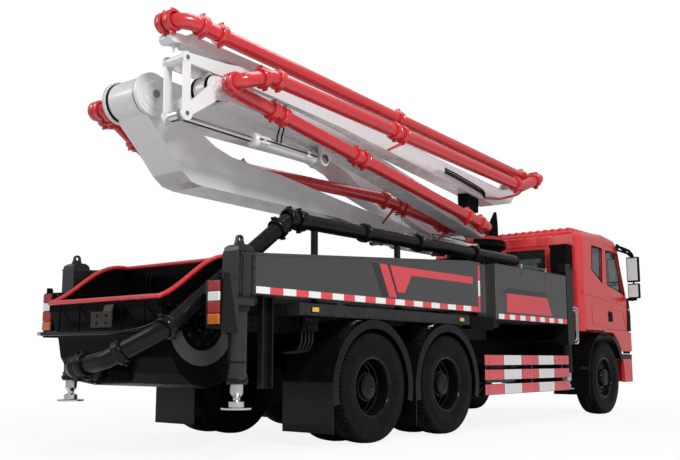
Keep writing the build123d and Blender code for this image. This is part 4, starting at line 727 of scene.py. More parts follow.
def side_boxes():
    for letter in SIDES:
        b = Build(letter, "chassis")
        for x0, x1 in ((2428, 3086), (3096, 3766), (3776, 4424)):
            b.box(x0, x1, 1249, PANEL_FACE, 1354, 1932)
        b.box(2420, 4432, 1240, 1256, 1934, 1948)
        b.done("box_panels", panel_paint, 3)
        b.shape("box_flash", [(2700, 1604), (3820, 1604), (3950, 1372), (2690, 1372)], decal_red,
                PANEL_FACE)
        b.shape("box_band", [(2768, 1672), (3748, 1672), (3850, 1606), (2560, 1606)], decal_black,
                PANEL_FACE)
        b.tape("box_tape", 2490, 4430, 1284, 1346, 14, OUTER_FACE, white_first=1)
        for x in (3210, 3910):
            b.lathe((x, 1200, 0), UP, [(1946, 22), (1952, 22), (1956, 14), (2000, 14), (2006, 18),
                                       (2010, 12), (2010, 0)], 24)
        b.done("box_knobs", bright)
        b.rod((3210, 1200, 1994), (3910, 1200, 1994), 8)
        for x in (3090, 3770):
            b.rod((x, 1256, 1880), (x, 1260, 1880), 9)
        b.done("box_rail", dark_steel, 1.5)
        reds, whites = Build(letter, "chassis"), Build(letter, "chassis")
        for low in (390, 560, 730):
            for k in range(5):
                x0 = 2119 + 464 * k
                (whites if k % 2 else reds).box(x0, x0 + 450, 1249, PANEL_FACE, low + 4, low + 121)
        reds.done("guard_red", guard_paint, 2)
        whites.done("guard_white", lacquer_white, 2)
        for low in (390, 560, 730):
            for x in (2205, 3375, 4275):
                for dz in (35, 90):
                    b.bolt((x, PANEL_FACE, low + dz), OUT, 8, 5)
        b.done("guard_bolts", plain_steel, 0.6)


side_boxes()


# Boom: outlines of the sections, pins and pipe runs as in the CAD
PIN_0, PIN_A, PIN_B = (3780, 2640), (-2000, 3170), (2975, 2480)
PIN_C, PIN_D = (-1720, 3200), (4105, 3300)
SIDE_PLANE = -660
# Y and outward side of the two faces that sections 3 and 4 share
SECTION_FACES = ((-770, -1), (-550, 1))

# body, (run index, share along it) of each clamp, points of the run
PIPES = [
    ("turret", [(1, 0.5)],
     [(4150, 0, 2590), (4150, 0, 2790), (4150, 335, 2790), (3780, 335, 2640), (3780, 410, 2640)]),
    ("boom_1", [(2, 0.04), (2, 0.5), (3, 0.1), (4, 0.25), (4, 0.75)],
     [(3780, 410, 2640), (3780, 490, 2640), (3350, 490, 2490), (0, 490, 2620), (-1500, 490, 2850),
      (-2000, 490, 3170), (-2000, 575, 3170)]),
    ("boom_2", [(1, 0.3), (2, 0.2), (3, 0.12), (4, 0.05), (4, 0.225), (4, 0.3), (4, 0.8), (4, 0.9)],
     [(-2000, 575, 3170), (-2000, 660, 3170), (-1500, 660, 3080), (-300, 660, 2960), (1300, -360, 2690),
      (2930, -360, 2515)]),
    ("boom_3", [(1, 0.05), (1, 0.12), (1, 0.6), (1, 0.57), (1, 0.87), (1, 0.84)],
     [(2975, -770, 2480), (2975, -880, 2480), (-1720, -880, 3200), (-1720, -980, 3200)]),
    ("boom_4", [(1, 0.7), (2, 0.02), (2, 0.4), (2, 0.43), (2, 0.97), (3, 0.7)],
     [(-1720, -980, 3200), (-1720, -1080, 3200), (-1350, -1080, 3330), (3500, -1080, 3080),
      (4105, -1080, 3300), (4105, -980, 3300)]),
    ("boom_5", [(1, 0.03), (1, 0.5), (1, 0.93), (1, 0.965), (2, 0.42), (2, 0.8)],
     [(4105, -980, 3300), (4105, -880, 3300), (-2235, -880, 3667), (-2235, -600, 3667)]),
]
CLAMP = [(-37, 71), (-37, 90), (-31, 95), (-12, 96), (-8, 92), (8, 92), (12, 96), (31, 95),
         (37, 90), (37, 71)]


def clamp(build, at, along, wider=0, bolted=True):
    """Two half shells with a bolt lug on each side."""
    build.lathe(at, along, [(distance, radius + wider) for distance, radius in CLAMP], 36)
    along = Vector(along).normalized()
    across = along.cross(Vector((0, 0, 1)))
    if across.length < 0.2:
        across = along.cross(Vector((1, 0, 0)))
    across.normalize()
    up = across.cross(along)
    for sign in (1, -1):
        lug = at + up * sign * (103 + wider)
        build.rod(lug - across * 24, lug + across * 24, 15, segments=10)
        if bolted:
            build.bolt(lug + across * 24, across, 9, 8)


def boom_pipes():
    b = Build()
    for number, (body, clamps, points) in enumerate(PIPES):
        for index, share in clamps:
            a, c = Vector(points[index]), Vector(points[index + 1])
            clamp(b, a + (c - a) * share, c - a)
        b.done(f"pipe_clamps_{number}", pipe_paint, body=body)
    # Swivel flanges where the pipe crosses a boom pin
    swivels = [
        ("boom_1", (-2000, 545, 3170), "boom_2", (-2000, 605, 3170)),
        ("boom_3", (-1720, -950, 3200), "boom_4", (-1720, -1010, 3200)),
        ("boom_5", (4105, -950, 3300), "boom_4", (4105, -1010, 3300)),
        ("turret", (3780, 382, 2640), "boom_1", (3780, 438, 2640)),
    ]
    for number, (first, at, second, at_2) in enumerate(swivels):
        for body, centre, end in ((first, at, "a"), (second, at_2, "b")):
            b.lathe(centre, OUT, [(-26, 71), (-26, 88), (-20, 96), (20, 96), (26, 88), (26, 71)], 40)
            b.bolt_circle((centre[0], centre[1] - 20, centre[2]), (0, -1, 0), 84, 8, 6, 5)
            b.done(f"swivel_{number}_{end}", pipe_paint, body=body)


boom_pipes()


def hub_plate(build, pin, face, side, radius):
    """Round cover over a boom pin, with bolts where it is a large one."""
    x, z = pin
    height = 10
    profile = [(-2, radius), (height * 0.6, radius), (height, radius - 5), (height, radius * 0.52),
               (height + 8, radius * 0.5), (height + 8, 0)]
    build.lathe((x, face, z), (0, side, 0), profile)
    if radius > 60:
        build.bolt_circle((x, face + side * height, z), (0, side, 0), radius * 0.74, 8, 9, 7)


KNEE_CAP = [(-2, 50), (14, 50), (18, 46), (18, 30), (24, 28), (24, 0)]


def boom_fittings():
    # body, name, material, list of (pin, face Y, side, radius)
    hubs = [
        ("boom_2", "a", boom_paint, [(PIN_A, -250.3, -1, 128), (PIN_A, 250.3, 1, 128)]),
        ("boom_3", "b", boom_paint, [(PIN_B, -549.5, 1, 84)]),
        ("turret", "zero", plain_steel, [(PIN_0, -240.3, -1, 92), (PIN_0, 240.3, 1, 92)]),
        ("boom_4", "c", boom_paint, [(PIN_C, -795, -1, 78), (PIN_C, -525, 1, 78), (PIN_D, -770, -1, 70),
                                     (PIN_D, -550, 1, 70)]),
        ("lift_barrels", "root", plain_steel, [((3560, 2318), -367, -1, 52), ((3560, 2318), 367, 1, 52)]),
        ("lift_rods", "eye", plain_steel, [((2100, 2320), -365, -1, 50), ((2100, 2320), 365, 1, 50)]),
    ]
    b = Build()
    for body, name, material, places in hubs:
        for pin, face, side, radius in places:
            hub_plate(b, pin, face, side, radius)
        b.done(f"hub_{name}", material, body=body)
    rear_joint()
    boom_tip()
    for name, pin in (("top", (-2090, 3375)), ("low", (-2080, 2880))):
        for y, side in ((-775, -1), (-545, 1)):
            b.lathe((pin[0], y, pin[1]), (0, side, 0), KNEE_CAP, 36)
        if name == "top":
            b.rod((pin[0], -545, pin[1]), (pin[0], -775, pin[1]), 42, segments=32)
        b.done(f"knee_pin_{name}", boom_paint, body="boom_4")
        b.bolt((pin[0], -799, pin[1]), (0, -1, 0), 14, 9)
        b.done(f"knee_nut_{name}", plain_steel, body="boom_4")
    for y, side in ((-752, -1), (-568, 1)):
        b.lathe((-186, y, 2831), (0, side, 0), [(-4, 46), (8, 46), (12, 40), (12, 0)], 32)
    b.done("knee_root_pin", plain_steel, body="boom_3")
    cylinder_ends()
    girder_plates()
    hydraulic_lines()


def rear_joint():
    """Rims, nuts and a ring of painted groove shade round the pin of sections 1 and 2; seals on the other
    boom pins.
    """
    ears, dark, nuts = Build(), Build(), Build()
    x, z = PIN_A
    for side in (1, -1):
        ears.side = dark.side = nuts.side = side
        ears.lathe((x, 250.3, z), OUT, [(-40, 189), (-40, 205), (-6, 205), (2, 199), (2, 189)], 64)
        ears.lathe((x, 250.3, z), OUT, [(-1, 172), (4, 170), (4, 160), (-1, 158)], 64)
        # Dark ring in the gap inside each ear: painted shade of the groove.
        dark.lathe((x, 210, z), OUT, [(-26, 184), (-26, 192), (0, 192), (0, 184)], 64)
        nuts.bolt((x, 268, z), OUT, 40, 22)
    ears.done("rear_ears", boom_paint, body="boom_2")
    dark.done("rear_groove_shade", seal_rubber, body="boom_1")
    nuts.done("rear_nuts", plain_steel, 1, "boom_2")
    b = Build()
    for y, side in SECTION_FACES:
        b.lathe((PIN_C[0], y, PIN_C[1]), (0, side, 0), [(-34, 114), (-34, 124), (-8, 124), (-2, 116)])
        b.lathe((PIN_C[0], y, PIN_C[1]), (0, side, 0), [(-1, 98), (2, 98), (2, 88), (-1, 88)])
    b.done("joint_c_seals", seal_rubber, body="boom_3")
    for y, side in SECTION_FACES:
        b.lathe((PIN_D[0], y, PIN_D[1]), (0, side, 0), [(-30, 94), (-30, 102), (-6, 102), (-2, 95)])
    b.done("joint_d_seals", seal_rubber, body="boom_4")


def boom_tip():
    """Fork and lifting eye at the end of section 5, rests and handles on the other sections."""
    b = Build(body="boom_4")
    for y0, y1 in ((-738, -712), (-608, -582)):
        b.prism([(-1940, 3600), (-1940, 3540), (-2170, 3500), (-2225, 3512), (-2230, 3560), (-2180, 3585)],
                y0, y1)
    b.lathe((-2190, -742, 3540), OUT, [(0, 0), (0, 46), (164, 46), (164, 0)], 36)
    b.lathe((-1985, -752, 3570), OUT, [(0, 0), (0, 58), (184, 58), (184, 0)], 36)
    b.prism([(-2150, 3500), (-2120, 3500), (-2128, 3440), (-2142, 3440)], -672, -648)
    b.done("boom_tip", boom_paint, 3, "boom_5")
    b.prism([(2690, 2700), (2980, 2694), (3000, 2888), (2680, 2924)], -728, -592)
    b.done("boom_rest", seal_rubber, 8)
    b.box(1830, 2120, -786, -766, 3046, 3156)
    b.box(1880, 2060, -800, -780, 3070, 3140)
    b.done("boom_bracket", boom_paint, 5)
    for row in (0, 1, 2):
        low = 26 * row
        b.pipe([(2050, -796, 3124 - low), (2300, -800, 3096 - low), (2700, -800, 3040 - low),
                (2980, -796, 2996 - low), (3060, -786, 2960 - low)], 9, 90, 10)
    b.done("boom_bracket_tubes", seal_rubber)
    b.pipe([(3700, -1040, 3104), (3640, -960, 3010), (3440, -800, 2940), (3040, -786, 2900)], 16, 120, 12)
    b.rod((700, -1080, 3112), (470, -1080, 3004), 16, 12)
    b.done("boom_4_handles", pipe_paint)
    b.rod((1576, -360, 2590), (1347, -360, 2391), 16, 12)
    b.rod((2762, -360, 2450), (2540, -360, 2321), 16, 12)
    b.done("boom_2_handles", pipe_paint, body="boom_2")


LIFT_ROOT, LIFT_EYE = Vector((3560, 0, 2318)), Vector((2100, 0, 2320))
KNEE_ROOT, KNEE_LOW = Vector((-186, SIDE_PLANE, 2831)), Vector((-2080, SIDE_PLANE, 2880))


def cylinder_ends():
    """Glands, end caps and feed tubes on the cylinders."""
    along = (LIFT_EYE - LIFT_ROOT).normalized()
    b = Build()
    tubes = Build()
    for side in (1, -1):
        root = LIFT_ROOT + Vector((0, side * 305, 0))
        gland = [(1035, 59), (1035, 64), (1070, 64), (1078, 61), (1090, 56), (1090, 39)]
        b.lathe(root, along, gland, 40)
        b.bolt_circle(root + along * 1078, along, 52, 8, 5, 4)
        low = Vector((0, 0, 66))
        tubes.pipe([root + along * 90 + low * 0.85, root + along * 90 + low * 1.25,
                    root + along * 1040 + low * 1.25, root + along * 1050 + low * 0.9], 8, 20, 10)
    b.done("lift_glands", plain_steel, 0.6, "lift_barrels")
    tubes.done("lift_feed_tubes", dark_steel, body="lift_barrels")
    along = (KNEE_LOW - KNEE_ROOT).normalized()
    b.lathe(KNEE_ROOT, along, [(920, 69), (920, 77), (955, 77), (962, 72), (974, 62), (974, 33)], 40)
    b.lathe(KNEE_ROOT, along, [(100, 69), (100, 76), (128, 76), (134, 69)], 40)
    b.bolt_circle(KNEE_ROOT + along * 962, along, 56, 8, 6, 4)
    for share, width in ((870, 110), (240, 70)):
        at = KNEE_ROOT + along * share
        b.box(at.x - width / 2, at.x + width / 2, -752, -722, at.z - 34, at.z + 34)
        b.bolt((at.x - 20, -752, at.z), (0, -1, 0), 12, 9)
    b.done("knee_gland", boom_paint, 1.5, "knee_barrel")
    for offset in (0, 60):
        x = -900 + offset
        b.pipe([(x, -740, 2870), (x, -748, 2930), (x + 30, -748, 3010), (x + 24, -740, 3050)], 8, 40, 10)
    b.done("knee_hose_tubes", seal_rubber, body="knee_barrel")
    out = Vector((0, -77, 0))
    b.pipe([KNEE_ROOT + along * 120 + out * 0.9, KNEE_ROOT + along * 120 + out * 1.18,
            KNEE_ROOT + along * 930 + out * 1.18, KNEE_ROOT + along * 940 + out * 0.95], 8, 20, 10)
    b.done("knee_feed_tube", dark_steel, body="knee_barrel")


# body, half width or faces, upper edge points, lower edge points of the flange plates
GIRDERS = [
    ("boom_1", -210, 210, [(-978, 2785), (-278, 2725), (824, 2590), (1500, 2520), (2400, 2415)],
     [(-1365, 2430), (700, 2392), (1500, 2300), (2800, 2248)]),
    ("boom_2", -165, 165, [(-1300, 3335), (500, 3315), (900, 3215), (1400, 2965), (2840, 2595)],
     [(-1300, 3060), (550, 3060), (900, 2965), (1250, 2780), (2840, 2400)]),
    ("boom_3", -770, -550, [(-1060, 3268), (80, 3145), (2240, 2720), (2860, 2604)],
     [(-1060, 3080), (80, 2930), (2240, 2520), (2860, 2394)]),
    ("boom_4", -770, -550, [(-1080, 3445), (250, 3370), (3560, 3088)],
     [(-1080, 3300), (80, 3212), (3280, 2852)]),
]


def girder_plates():
    """Weld ledges along the box girders, 3 mm proud of their sides."""
    b = Build()
    for body, y0, y1, upper, lower in GIRDERS:
        for edge, drop in ((upper, -14), (lower, 14)):
            for side, y in ((-1, y0), (1, y1)):
                far = [(x, z + drop) for x, z in reversed(edge)]
                b.prism(edge + far, y - side, y + side * 3)
        b.done(f"girder_ledges_{body}", boom_paint, 1, body)


def hydraulic_lines():
    """Steel tubes clamped along the sections, on the side away from the pipes."""
    lines = [
        ("boom_1", 224, [(-1450, 2620), (-1000, 2600), (700, 2480), (1500, 2400), (2300, 2350)]),
        ("boom_2", 182, [(-1300, 3160), (450, 3150), (900, 3060), (1350, 2840), (2700, 2500)]),
        ("boom_3", -536, [(-1050, 3170), (80, 3030), (2240, 2620), (2800, 2500)]),
        ("boom_4", -536, [(-1200, 3400), (80, 3290), (3200, 2960)]),
    ]
    for body, y, points in lines:
        tubes, blocks = Build(), Build()
        for row in range(3):
            lifted = [(x, y, z + 24 * row) for x, z in points]
            tubes.pipe(lifted, 7, 120, 8)
        for (x0, z0), (x1, z1) in zip(points, points[1:]):
            count = max(1, int(hypot(x1 - x0, z1 - z0) // 480))
            for k in range(count):
                t = (k + 0.5) / count
                x, z = x0 + (x1 - x0) * t, z0 + (z1 - z0) * t
                blocks.box(x - 14, x + 14, y - 14, y + 10, z - 14, z + 62)
        tubes.done(f"oil_lines_{body}", plain_steel, body=body)
        blocks.done(f"oil_line_clips_{body}", trim_plastic, 2, body)


boom_fittings()


SLEWING_X, SLEWING_TEETH = 4100, 72


def turret_fittings():
    b = Build(body="chassis")
    b.bolt_circle((SLEWING_X, 0, 2529), UP, 398, 30, 13, 20)
    b.done("turret_bolts", line_paint, 0.6, "turret")
    b.prism([(4110, 2529), (4330, 2529), (4330, 2740), (4296, 2930), (4266, 2930), (4110, 2740)],
            -284, -250)
    b.done("turret_fin", seal_rubber, 5, "turret")
    for k in range(SLEWING_TEETH):
        a = 2 * pi * k / SLEWING_TEETH
        c, s = cos(a), sin(a)
        points = []
        for r, w in ((447, 14), (468, 8), (468, -8), (447, -14)):
            points.append((SLEWING_X + r * c - w * s, r * s + w * c))
        rows = [[b.bm.verts.new(spot(x, y, z)) for x, y in points] for z in (2392, 2446)]
        b.close(rows)
    b.done("slewing_teeth", line_paint)
    b.lathe((SLEWING_X, 0, 0), UP, [(2452, 449), (2452, 458), (2478, 458), (2478, 449)], 96)
    b.lathe((SLEWING_X, 0, 0), UP, [(2382, 449), (2382, 456), (2388, 456), (2388, 449)], 96)
    b.bolt_circle((SLEWING_X, 0, 2380), (0, 0, -1), 428, 36, 13, 16)
    b.done("slewing_ring_edges", chassis_paint, 1)
    for b.side in (-1, 1):
        for x in (3700, 3900, 4120, 4340):
            b.box(x - 5, x + 5, 428, 446, 1062, 2200)
    b.done("pedestal_ribs", chassis_paint, 1.5)


turret_fittings()


# Cab
DOOR_WINDOW = [(5935, 1935), (6600, 1815), (6380, 2425), (5935, 2440)]
QUARTER_WINDOW = [(5364, 2119), (5728, 1955), (5764, 2452), (5403, 2464)]
SCREEN_FOOT, SCREEN_HEAD = Vector((6775, 0, 1770)), Vector((6440, 0, 2560))


def on_screen(share, y, lift):
    """Point of the windscreen's plane: share of the way up, Y, and height above the pane."""
    up = SCREEN_HEAD - SCREEN_FOOT
    normal = Vector((up.z, 0, -up.x)).normalized()
    p = SCREEN_FOOT + up * share + normal * lift
    return (p.x, y, p.z)


def cab_fittings():
    for letter in SIDES:
        door = f"door_{letter}"
        b = Build(letter, "cab")
        b.ring(DOOR_WINDOW, 16, 1232, 1253)
        b.done("door_seal", seal_rubber, 2, door)
        b.ring(QUARTER_WINDOW, 16, 1232, 1253)
        b.done("quarter_seal", seal_rubber, 2)
        b.prism([(5915, 1524), (6070, 1516), (6096, 1364), (5915, 1364)], 1246, 1253)
        b.box(5925, 6060, 1253, 1266, 1452, 1478)
        b.rod((6046, 1253, 1400), (6046, 1259, 1400), 10)
        b.done("door_handle", trim_plastic, 3, door)
        b.prism([(5842, 1690), (6636, 1628), (6636, 1652), (5842, 1716)], 1244, 1262)
        b.prism([(5842, 1566), (6500, 1530), (6520, 1514), (6600, 1270), (6614, 1270), (6530, 1526),
                 (6506, 1544), (5842, 1580)], 1246, 1257)
        b.prism([(5846, 1290), (6590, 1262), (6590, 1272), (5846, 1300)], 1247, 1255)
        b.done("door_crease", cab_paint, 5, door)
        b.prism([(5000, 1752), (5822, 1692), (5822, 1718), (5000, 1778)], 1244, 1262)
        b.prism([(5300, 1600), (5822, 1567), (5822, 1581), (5312, 1614), (5312, 1310), (5822, 1292),
                 (5822, 1302), (5324, 1320), (5324, 1600)], 1247, 1256)
        b.done("cab_crease", cab_paint, 5)
        b.shape("corner_strip", [(6660, 1240), (6818, 1240), (6824, 1500), (6770, 1752), (6700, 1752)],
                trim_plastic, 1249, 6)
        b.box(6700, 6780, 1255, 1268, 1560, 1600)
        b.done("side_blinker", lens_amber, 5)
        b.box(5060, 5740, 1249, 1256, 1208, 1226)
        b.done("cab_sill", trim_plastic, 2)
        mirrors(b)
        b.box(6410, 6776, 1124, 1232, 876, 884)
        b.done("step_plate", deck_plate, 2, "chassis")
        b.box(6600, 6784, 1190, 1238, 892, 928)
        b.done("cab_skirt", seal_rubber, 3)
        b.box(6690, 6750, 1239, 1249, 690, 724)
        b.done("bumper_marker", lens_amber, 4, "chassis")
        headlamp(b)
    windscreen()
    cab_front()
    cab_roof()


def cab_roof():
    """Pressed roof panel with its ribs, and the frame round the rear windows."""
    b = Build(body="cab")
    b.prism([(5030, 2640), (6360, 2640), (6300, 2716), (5070, 2716)], -1090, 1090)
    for y in range(-1020, 1021, 120):
        b.prism([(5040, 2700), (6340, 2700), (6290, 2728), (5080, 2728)], y - 26, y + 26)
    b.done("roof_panel", cab_paint, 9)
    for y0, y1 in ((-1140, -745), (-745, 745), (745, 1140)):
        b.box(4966, 4976, y0 + 6, y1 - 6, 2470, 2500)
        b.box(4966, 4976, y0 + 6, y1 - 6, 1960, 1984)
    for y in (-745, 745):
        b.box(4966, 4976, y - 16, y + 16, 1280, 2600)
    b.done("rear_wall_ribs", cab_paint, 5)


def mirrors(b):
    y = 1380
    # Mirror glass in the pale material with its painted reflection.
    b.box(6659, 6666, y - 80, y + 80, 2034, 2388)
    b.box(6662, 6671, y - 76, y + 76, 1772, 1968)
    b.done("mirror_glass", mirror_painted_reflection, 3)
    b.box(6662, 6742, y - 97, y + 97, 2010, 2410)
    b.box(6668, 6742, y - 92, y + 92, 1752, 1988)
    b.done("mirror_housing", trim_plastic, 16)
    b.pipe([(6376, 1262, 2560), (6560, 1372, 2500), (6700, y, 2440), (6704, y, 2400)], 22, 60)
    b.pipe([(6396, 1258, 2500), (6570, 1366, 2450), (6700, y, 2396)], 17, 60)
    b.pipe([(6708, 1256, 1742), (6708, y - 20, 1730), (6704, y, 1760)], 20, 50)
    b.lathe((6376, 1250, 2530), OUT, [(0, 0), (0, 52), (16, 46), (22, 30), (22, 0)], 28)
    b.done("mirror_arms", trim_plastic)


def headlamp(b):
    for y0, y1, z0, z1 in ((736, 1124, 556, 564), (736, 1124, 736, 744), (736, 744, 556, 744),
                           (1116, 1124, 556, 744)):
        b.box(6896, 6914, y0, y1, z0, z1)
    b.done("headlamp_frame", trim_plastic, 2, "chassis")
    for y in (830, 1010):
        b.lathe((6900, y, 650), AHEAD, [(4, 0), (4, 30), (6, 60), (9, 74), (12, 78), (12, 82), (4, 84)], 40)
    b.done("headlamp_bowls", bright, body="chassis")
    b.box(6900, 6913, 1096, 1114, 570, 730)
    b.done("headlamp_blinker", lens_amber, 3, "chassis")


def windscreen():
    b = Build(body="cab")
    corners = [(0.055, -1150), (0.055, 1150), (0.945, 1150), (0.945, -1150)]
    outer = [(0.03, -1176), (0.03, 1176), (0.97, 1176), (0.97, -1176)]
    rows = []
    for outline, lift in ((corners, -16), (outer, -6), (outer, 4), (corners, 4)):
        rows.append([b.bm.verts.new(spot(*on_screen(share, y, lift))) for share, y in outline])
    b.close(rows + [rows[0]], ends=False)
    b.done("windscreen_seal", seal_rubber, 2)
    for y in (-820, -60, 700):
        b.rod(on_screen(0.02, y, 6), on_screen(0.02, y, 34), 20)
        b.pipe([on_screen(0.02, y, 30), on_screen(0.12, y + 60, 26), on_screen(0.42, y + 230, 14)], 7,
               60, 8)
        b.pipe([on_screen(0.36, y + 60, 6), on_screen(0.46, y + 400, 6)], 6, 20, 8)
    b.done("wipers", trim_plastic)


def cab_front():
    b = Build(body="cab")
    b.box(6824, 6832, -640, 640, 1062, 1452)
    b.done("grille_back", seal_rubber, 2)
    for y in range(-600, 601, 40):
        b.box(6830, 6838, y - 4, y + 4, 1075, 1440)
    b.done("grille_mesh", trim_plastic, 1)
    for y0, y1 in ((-1190, -680), (680, 1190)):
        b.box(6826, 6836, y0, y1, 1090, 1430)
    b.box(6826, 6838, -1190, 1190, 1480, 1500)
    b.box(6826, 6838, -1190, 1190, 1030, 1050)
    b.done("front_panels", cab_paint, 5)
    for y in (-640, 640):
        b.pipe([(6832, y - 200, 1560), (6866, y - 200, 1560), (6866, y + 200, 1560), (6832, y + 200, 1560)],
               12, 25)
    b.done("front_handles", trim_plastic)
    b.prism([(6440, 2600), (6620, 2540), (6690, 2500), (6694, 2512), (6625, 2556), (6445, 2618)],
            -1120, 1120)
    for y in (-1000, 0, 1000):
        b.prism([(6400, 2600), (6600, 2548), (6600, 2556), (6400, 2632)], y - 10, y + 10)
    b.done("sun_visor", trim_plastic, 2)
    for y in (-900, -300, 300, 900):
        b.box(6330, 6390, y - 55, y + 55, 2680, 2722)
    b.done("roof_markers", lens_amber, 8)
    b.box(6908, 6913, -268, 268, 596, 716)
    b.done("front_plate_holder", trim_plastic, 2, "chassis")
    b.box(6912, 6915, -260, 260, 604, 708)
    b.done("front_plate_blank", lacquer_white, 1, "chassis")
    b.box(6905, 6913, -700, 700, 720, 796)
    b.box(6905, 6913, -640, 640, 470, 520)
    for y in (-420, 420):
        b.rod((6900, y, 560), (6914, y, 560), 34)
    b.done("bumper_inserts", trim_plastic, 3, "chassis")
    for z in range(1960, 2400, 44):
        b.box(4766, 4954, -1138, -1128, z, z + 22)
    b.box(4750, 4960, -1140, -870, 2405, 2440)
    b.done("intake_louvres", trim_plastic, 2)


cab_fittings()


def cushion(name, centre, size, material, body, tilt=0.0, channels=3):
    """Stuffed pad with pulled-in sides and sewn channels."""
    bm = bmesh.new()
    bmesh.ops.create_cube(bm, size=2)
    bmesh.ops.subdivide_edges(bm, edges=bm.edges, cuts=23, use_grid_fill=True)
    for v in bm.verts:
        x, y, z = v.co
        side_x = copysign(abs(sin(x * pi / 2)) ** 0.9, x) if abs(z) >= 0.999 else x
        edge = max(abs(x), abs(y)) ** 8
        swell = (1 - abs(x) ** 4) * (1 - abs(y) ** 4)
        height = z * (1 - 0.28 * edge) + (0.3 * swell if z > 0 else 0)
        groove = 0.0
        for k in range(1, channels + 1):
            at = -1 + 2 * k / (channels + 1)
            groove += exp(-((y - at) / 0.045) ** 2)
        if z > 0.2:
            height -= 0.16 * groove * (0.3 + 0.7 * swell)
        pull = 1 - 0.03 * (abs(z) > 0.9)
        v.co = Vector((side_x * pull, y * pull, height))
    mesh = bpy.data.meshes.new(name)
    bm.to_mesh(mesh)
    bm.free()
    turn = Matrix.Rotation(radians(tilt), 4, "Y")
    scale = Matrix.Diagonal((*(length / 2000 for length in size), 1))
    mesh.transform(Matrix.Translation(spot(*centre)) @ turn @ scale)
    piece = place(name, mesh, material, body, angle=80)
    rounding = piece.modifiers.new("round", "SUBSURF")
    rounding.levels = 1
    rounding.render_levels = 1
    return piece


def seats():
    b = Build(body="cab")
    for letter, y in (("l", 560), ("r", -560)):
        b.box(5600, 5980, y - 180, y + 180, 1252, 1300)
        b.prism([(5620, 1300), (5960, 1300), (5990, 1500), (5580, 1500)], y - 150, y + 150)
        b.prism([(5400, 2270), (5426, 2278), (5560, 1610), (5534, 1600)], y - 200, y + 200)
        b.done(f"seat_base_{letter}", trim_plastic, 12)
        pan = cushion(f"seat_cushion_{letter}", (5800, y, 1560), (510, 490, 120), seat_cloth, "cab")
        cushion(f"seat_back_{letter}", (5510, y, 1930), (620, 470, 110), seat_cloth, "cab", -78)
        cushion(f"head_rest_{letter}", (5436, y, 2330), (150, 260, 90), seat_side, "cab", -78, 1)
        if letter == "l":
            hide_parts("seats")


seats()


# Hopper and rear
AGITATOR = (-1840, 1110)


def hopper_fittings():
    b = Build(body="chassis")
    b.box(-2352, -2340, -225, 68, 1068, 1204)
    b.prism([(-2340, 1196), (-2352, 1196), (-2326, 1262), (-2314, 1262)], -214, -92)
    b.done("rear_plate", rust_steel, 3)
    b.box(-2341, -2296, -190, -150, 1090, 1180)
    b.box(-2341, -2296, 0, 40, 1090, 1180)
    b.done("rear_plate_brackets", hopper_paint, 2)
    # Dark discs standing for the plate's holes: painted shade of the openings.
    for y in (-150, -20):
        for z in (1106, 1168):
            b.rod((-2354, y, z), (-2351, y, z), 13)
    b.done("rear_plate_hole_shade", seal_rubber)
    for y in (-420, -360, 360, 420):
        b.prism([(-1474, 1300), (-1462, 1300), (-1450, 1660), (-1500, 1560)], y - 7, y + 7)
    b.done("hopper_gussets", hopper_paint, 2)
    x, z = AGITATOR
    arc = [radians(a) for a in range(198, 343, 8)]
    crescent = []
    for radius, turn in ((365, arc), (238, arc[::-1])):
        crescent += [(x + radius * cos(a), z + radius * sin(a)) for a in turn]
    for b.side in (-1, 1):
        b.prism(crescent, 778, 788)
    b.done("hopper_side_plates", panel_paint, 2)
    b.pipe([(-2352, 800, 1030), (-2352, -330, 1020), (-2330, -600, 1050), (-2250, -790, 1120)], 17, 90, 14)
    b.done("rear_bar", line_paint)
    b.rod((-2352, 796, 1030), (-2352, 850, 1030), 19)
    b.done("rear_bar_end", bright, 1)
    for b.side in (-1, 1):
        for y, radius, count, size, height in ((794, 182, 10, 10, 9), (825, 94, 8, 9, 8),
                                               (875, 42, 6, 6, 5)):
            b.bolt_circle((x, y, z), OUT, radius, count, size, height)
        for bolt_x in range(-2220, -1500, 90):
            b.bolt((bolt_x, 800, 1244), OUT, 7, 5)
    for y in range(-700, 701, 100):
        b.bolt((-2300, y, 1240), (-1, 0, 0), 8, 6)
    b.done("hopper_bolts", dark_steel, 0.6)
    for y in (-600, -300, 300, 600):
        b.box(-2312, -2298, y - 6, y + 6, 1010, 1270)
    b.box(-2306, -2298, -770, 770, 1225, 1262)
    b.box(-2306, -2298, -770, 770, 1010, 1030)
    b.done("hopper_ribs", hopper_paint, 1)
    for x, y in ((-2250, -640), (-2250, 640), (-1560, -640), (-1560, 640)):
        b.box(x - 30, x + 30, y - 20, y + 20, 1275, 1288)
    for y in (-560, 560):
        b.pipe([(-2180, y, 1280), (-2180, y, 1310), (-2080, y, 1310), (-2080, y, 1280)], 9, 20)
    b.done("grate_fittings", plain_steel, 1, "hopper_grate")


DELIVERY_Y, DELIVERY_Z = -880, 2110
DELIVERY = [
    (-2290, 0, 720), (-2600, 0, 720), (-2560, -460, 800), (-2330, DELIVERY_Y, 1035),
    (-870, DELIVERY_Y, DELIVERY_Z), (3800, DELIVERY_Y, DELIVERY_Z),
]


def delivery_fittings():
    b = Build(body="chassis")
    for index, share in ((0, 0.25), (1, 0.3), (1, 0.45), (2, 0.25), (3, 0.02), (3, 0.9),
                         (4, 0.0), (4, 0.03)):
        start, end = (Vector(p) for p in DELIVERY[index:index + 2])
        clamp(b, start + (end - start) * share, end - start, wider=5, bolted=False)
    for x in (-700, 300, 1300, 2550):
        b.lathe((x, DELIVERY_Y, DELIVERY_Z), AHEAD, [(distance, radius + 5) for distance, radius in CLAMP],
                36)
    b.done("delivery_clamps", line_paint)


hopper_fittings()
delivery_fittings()


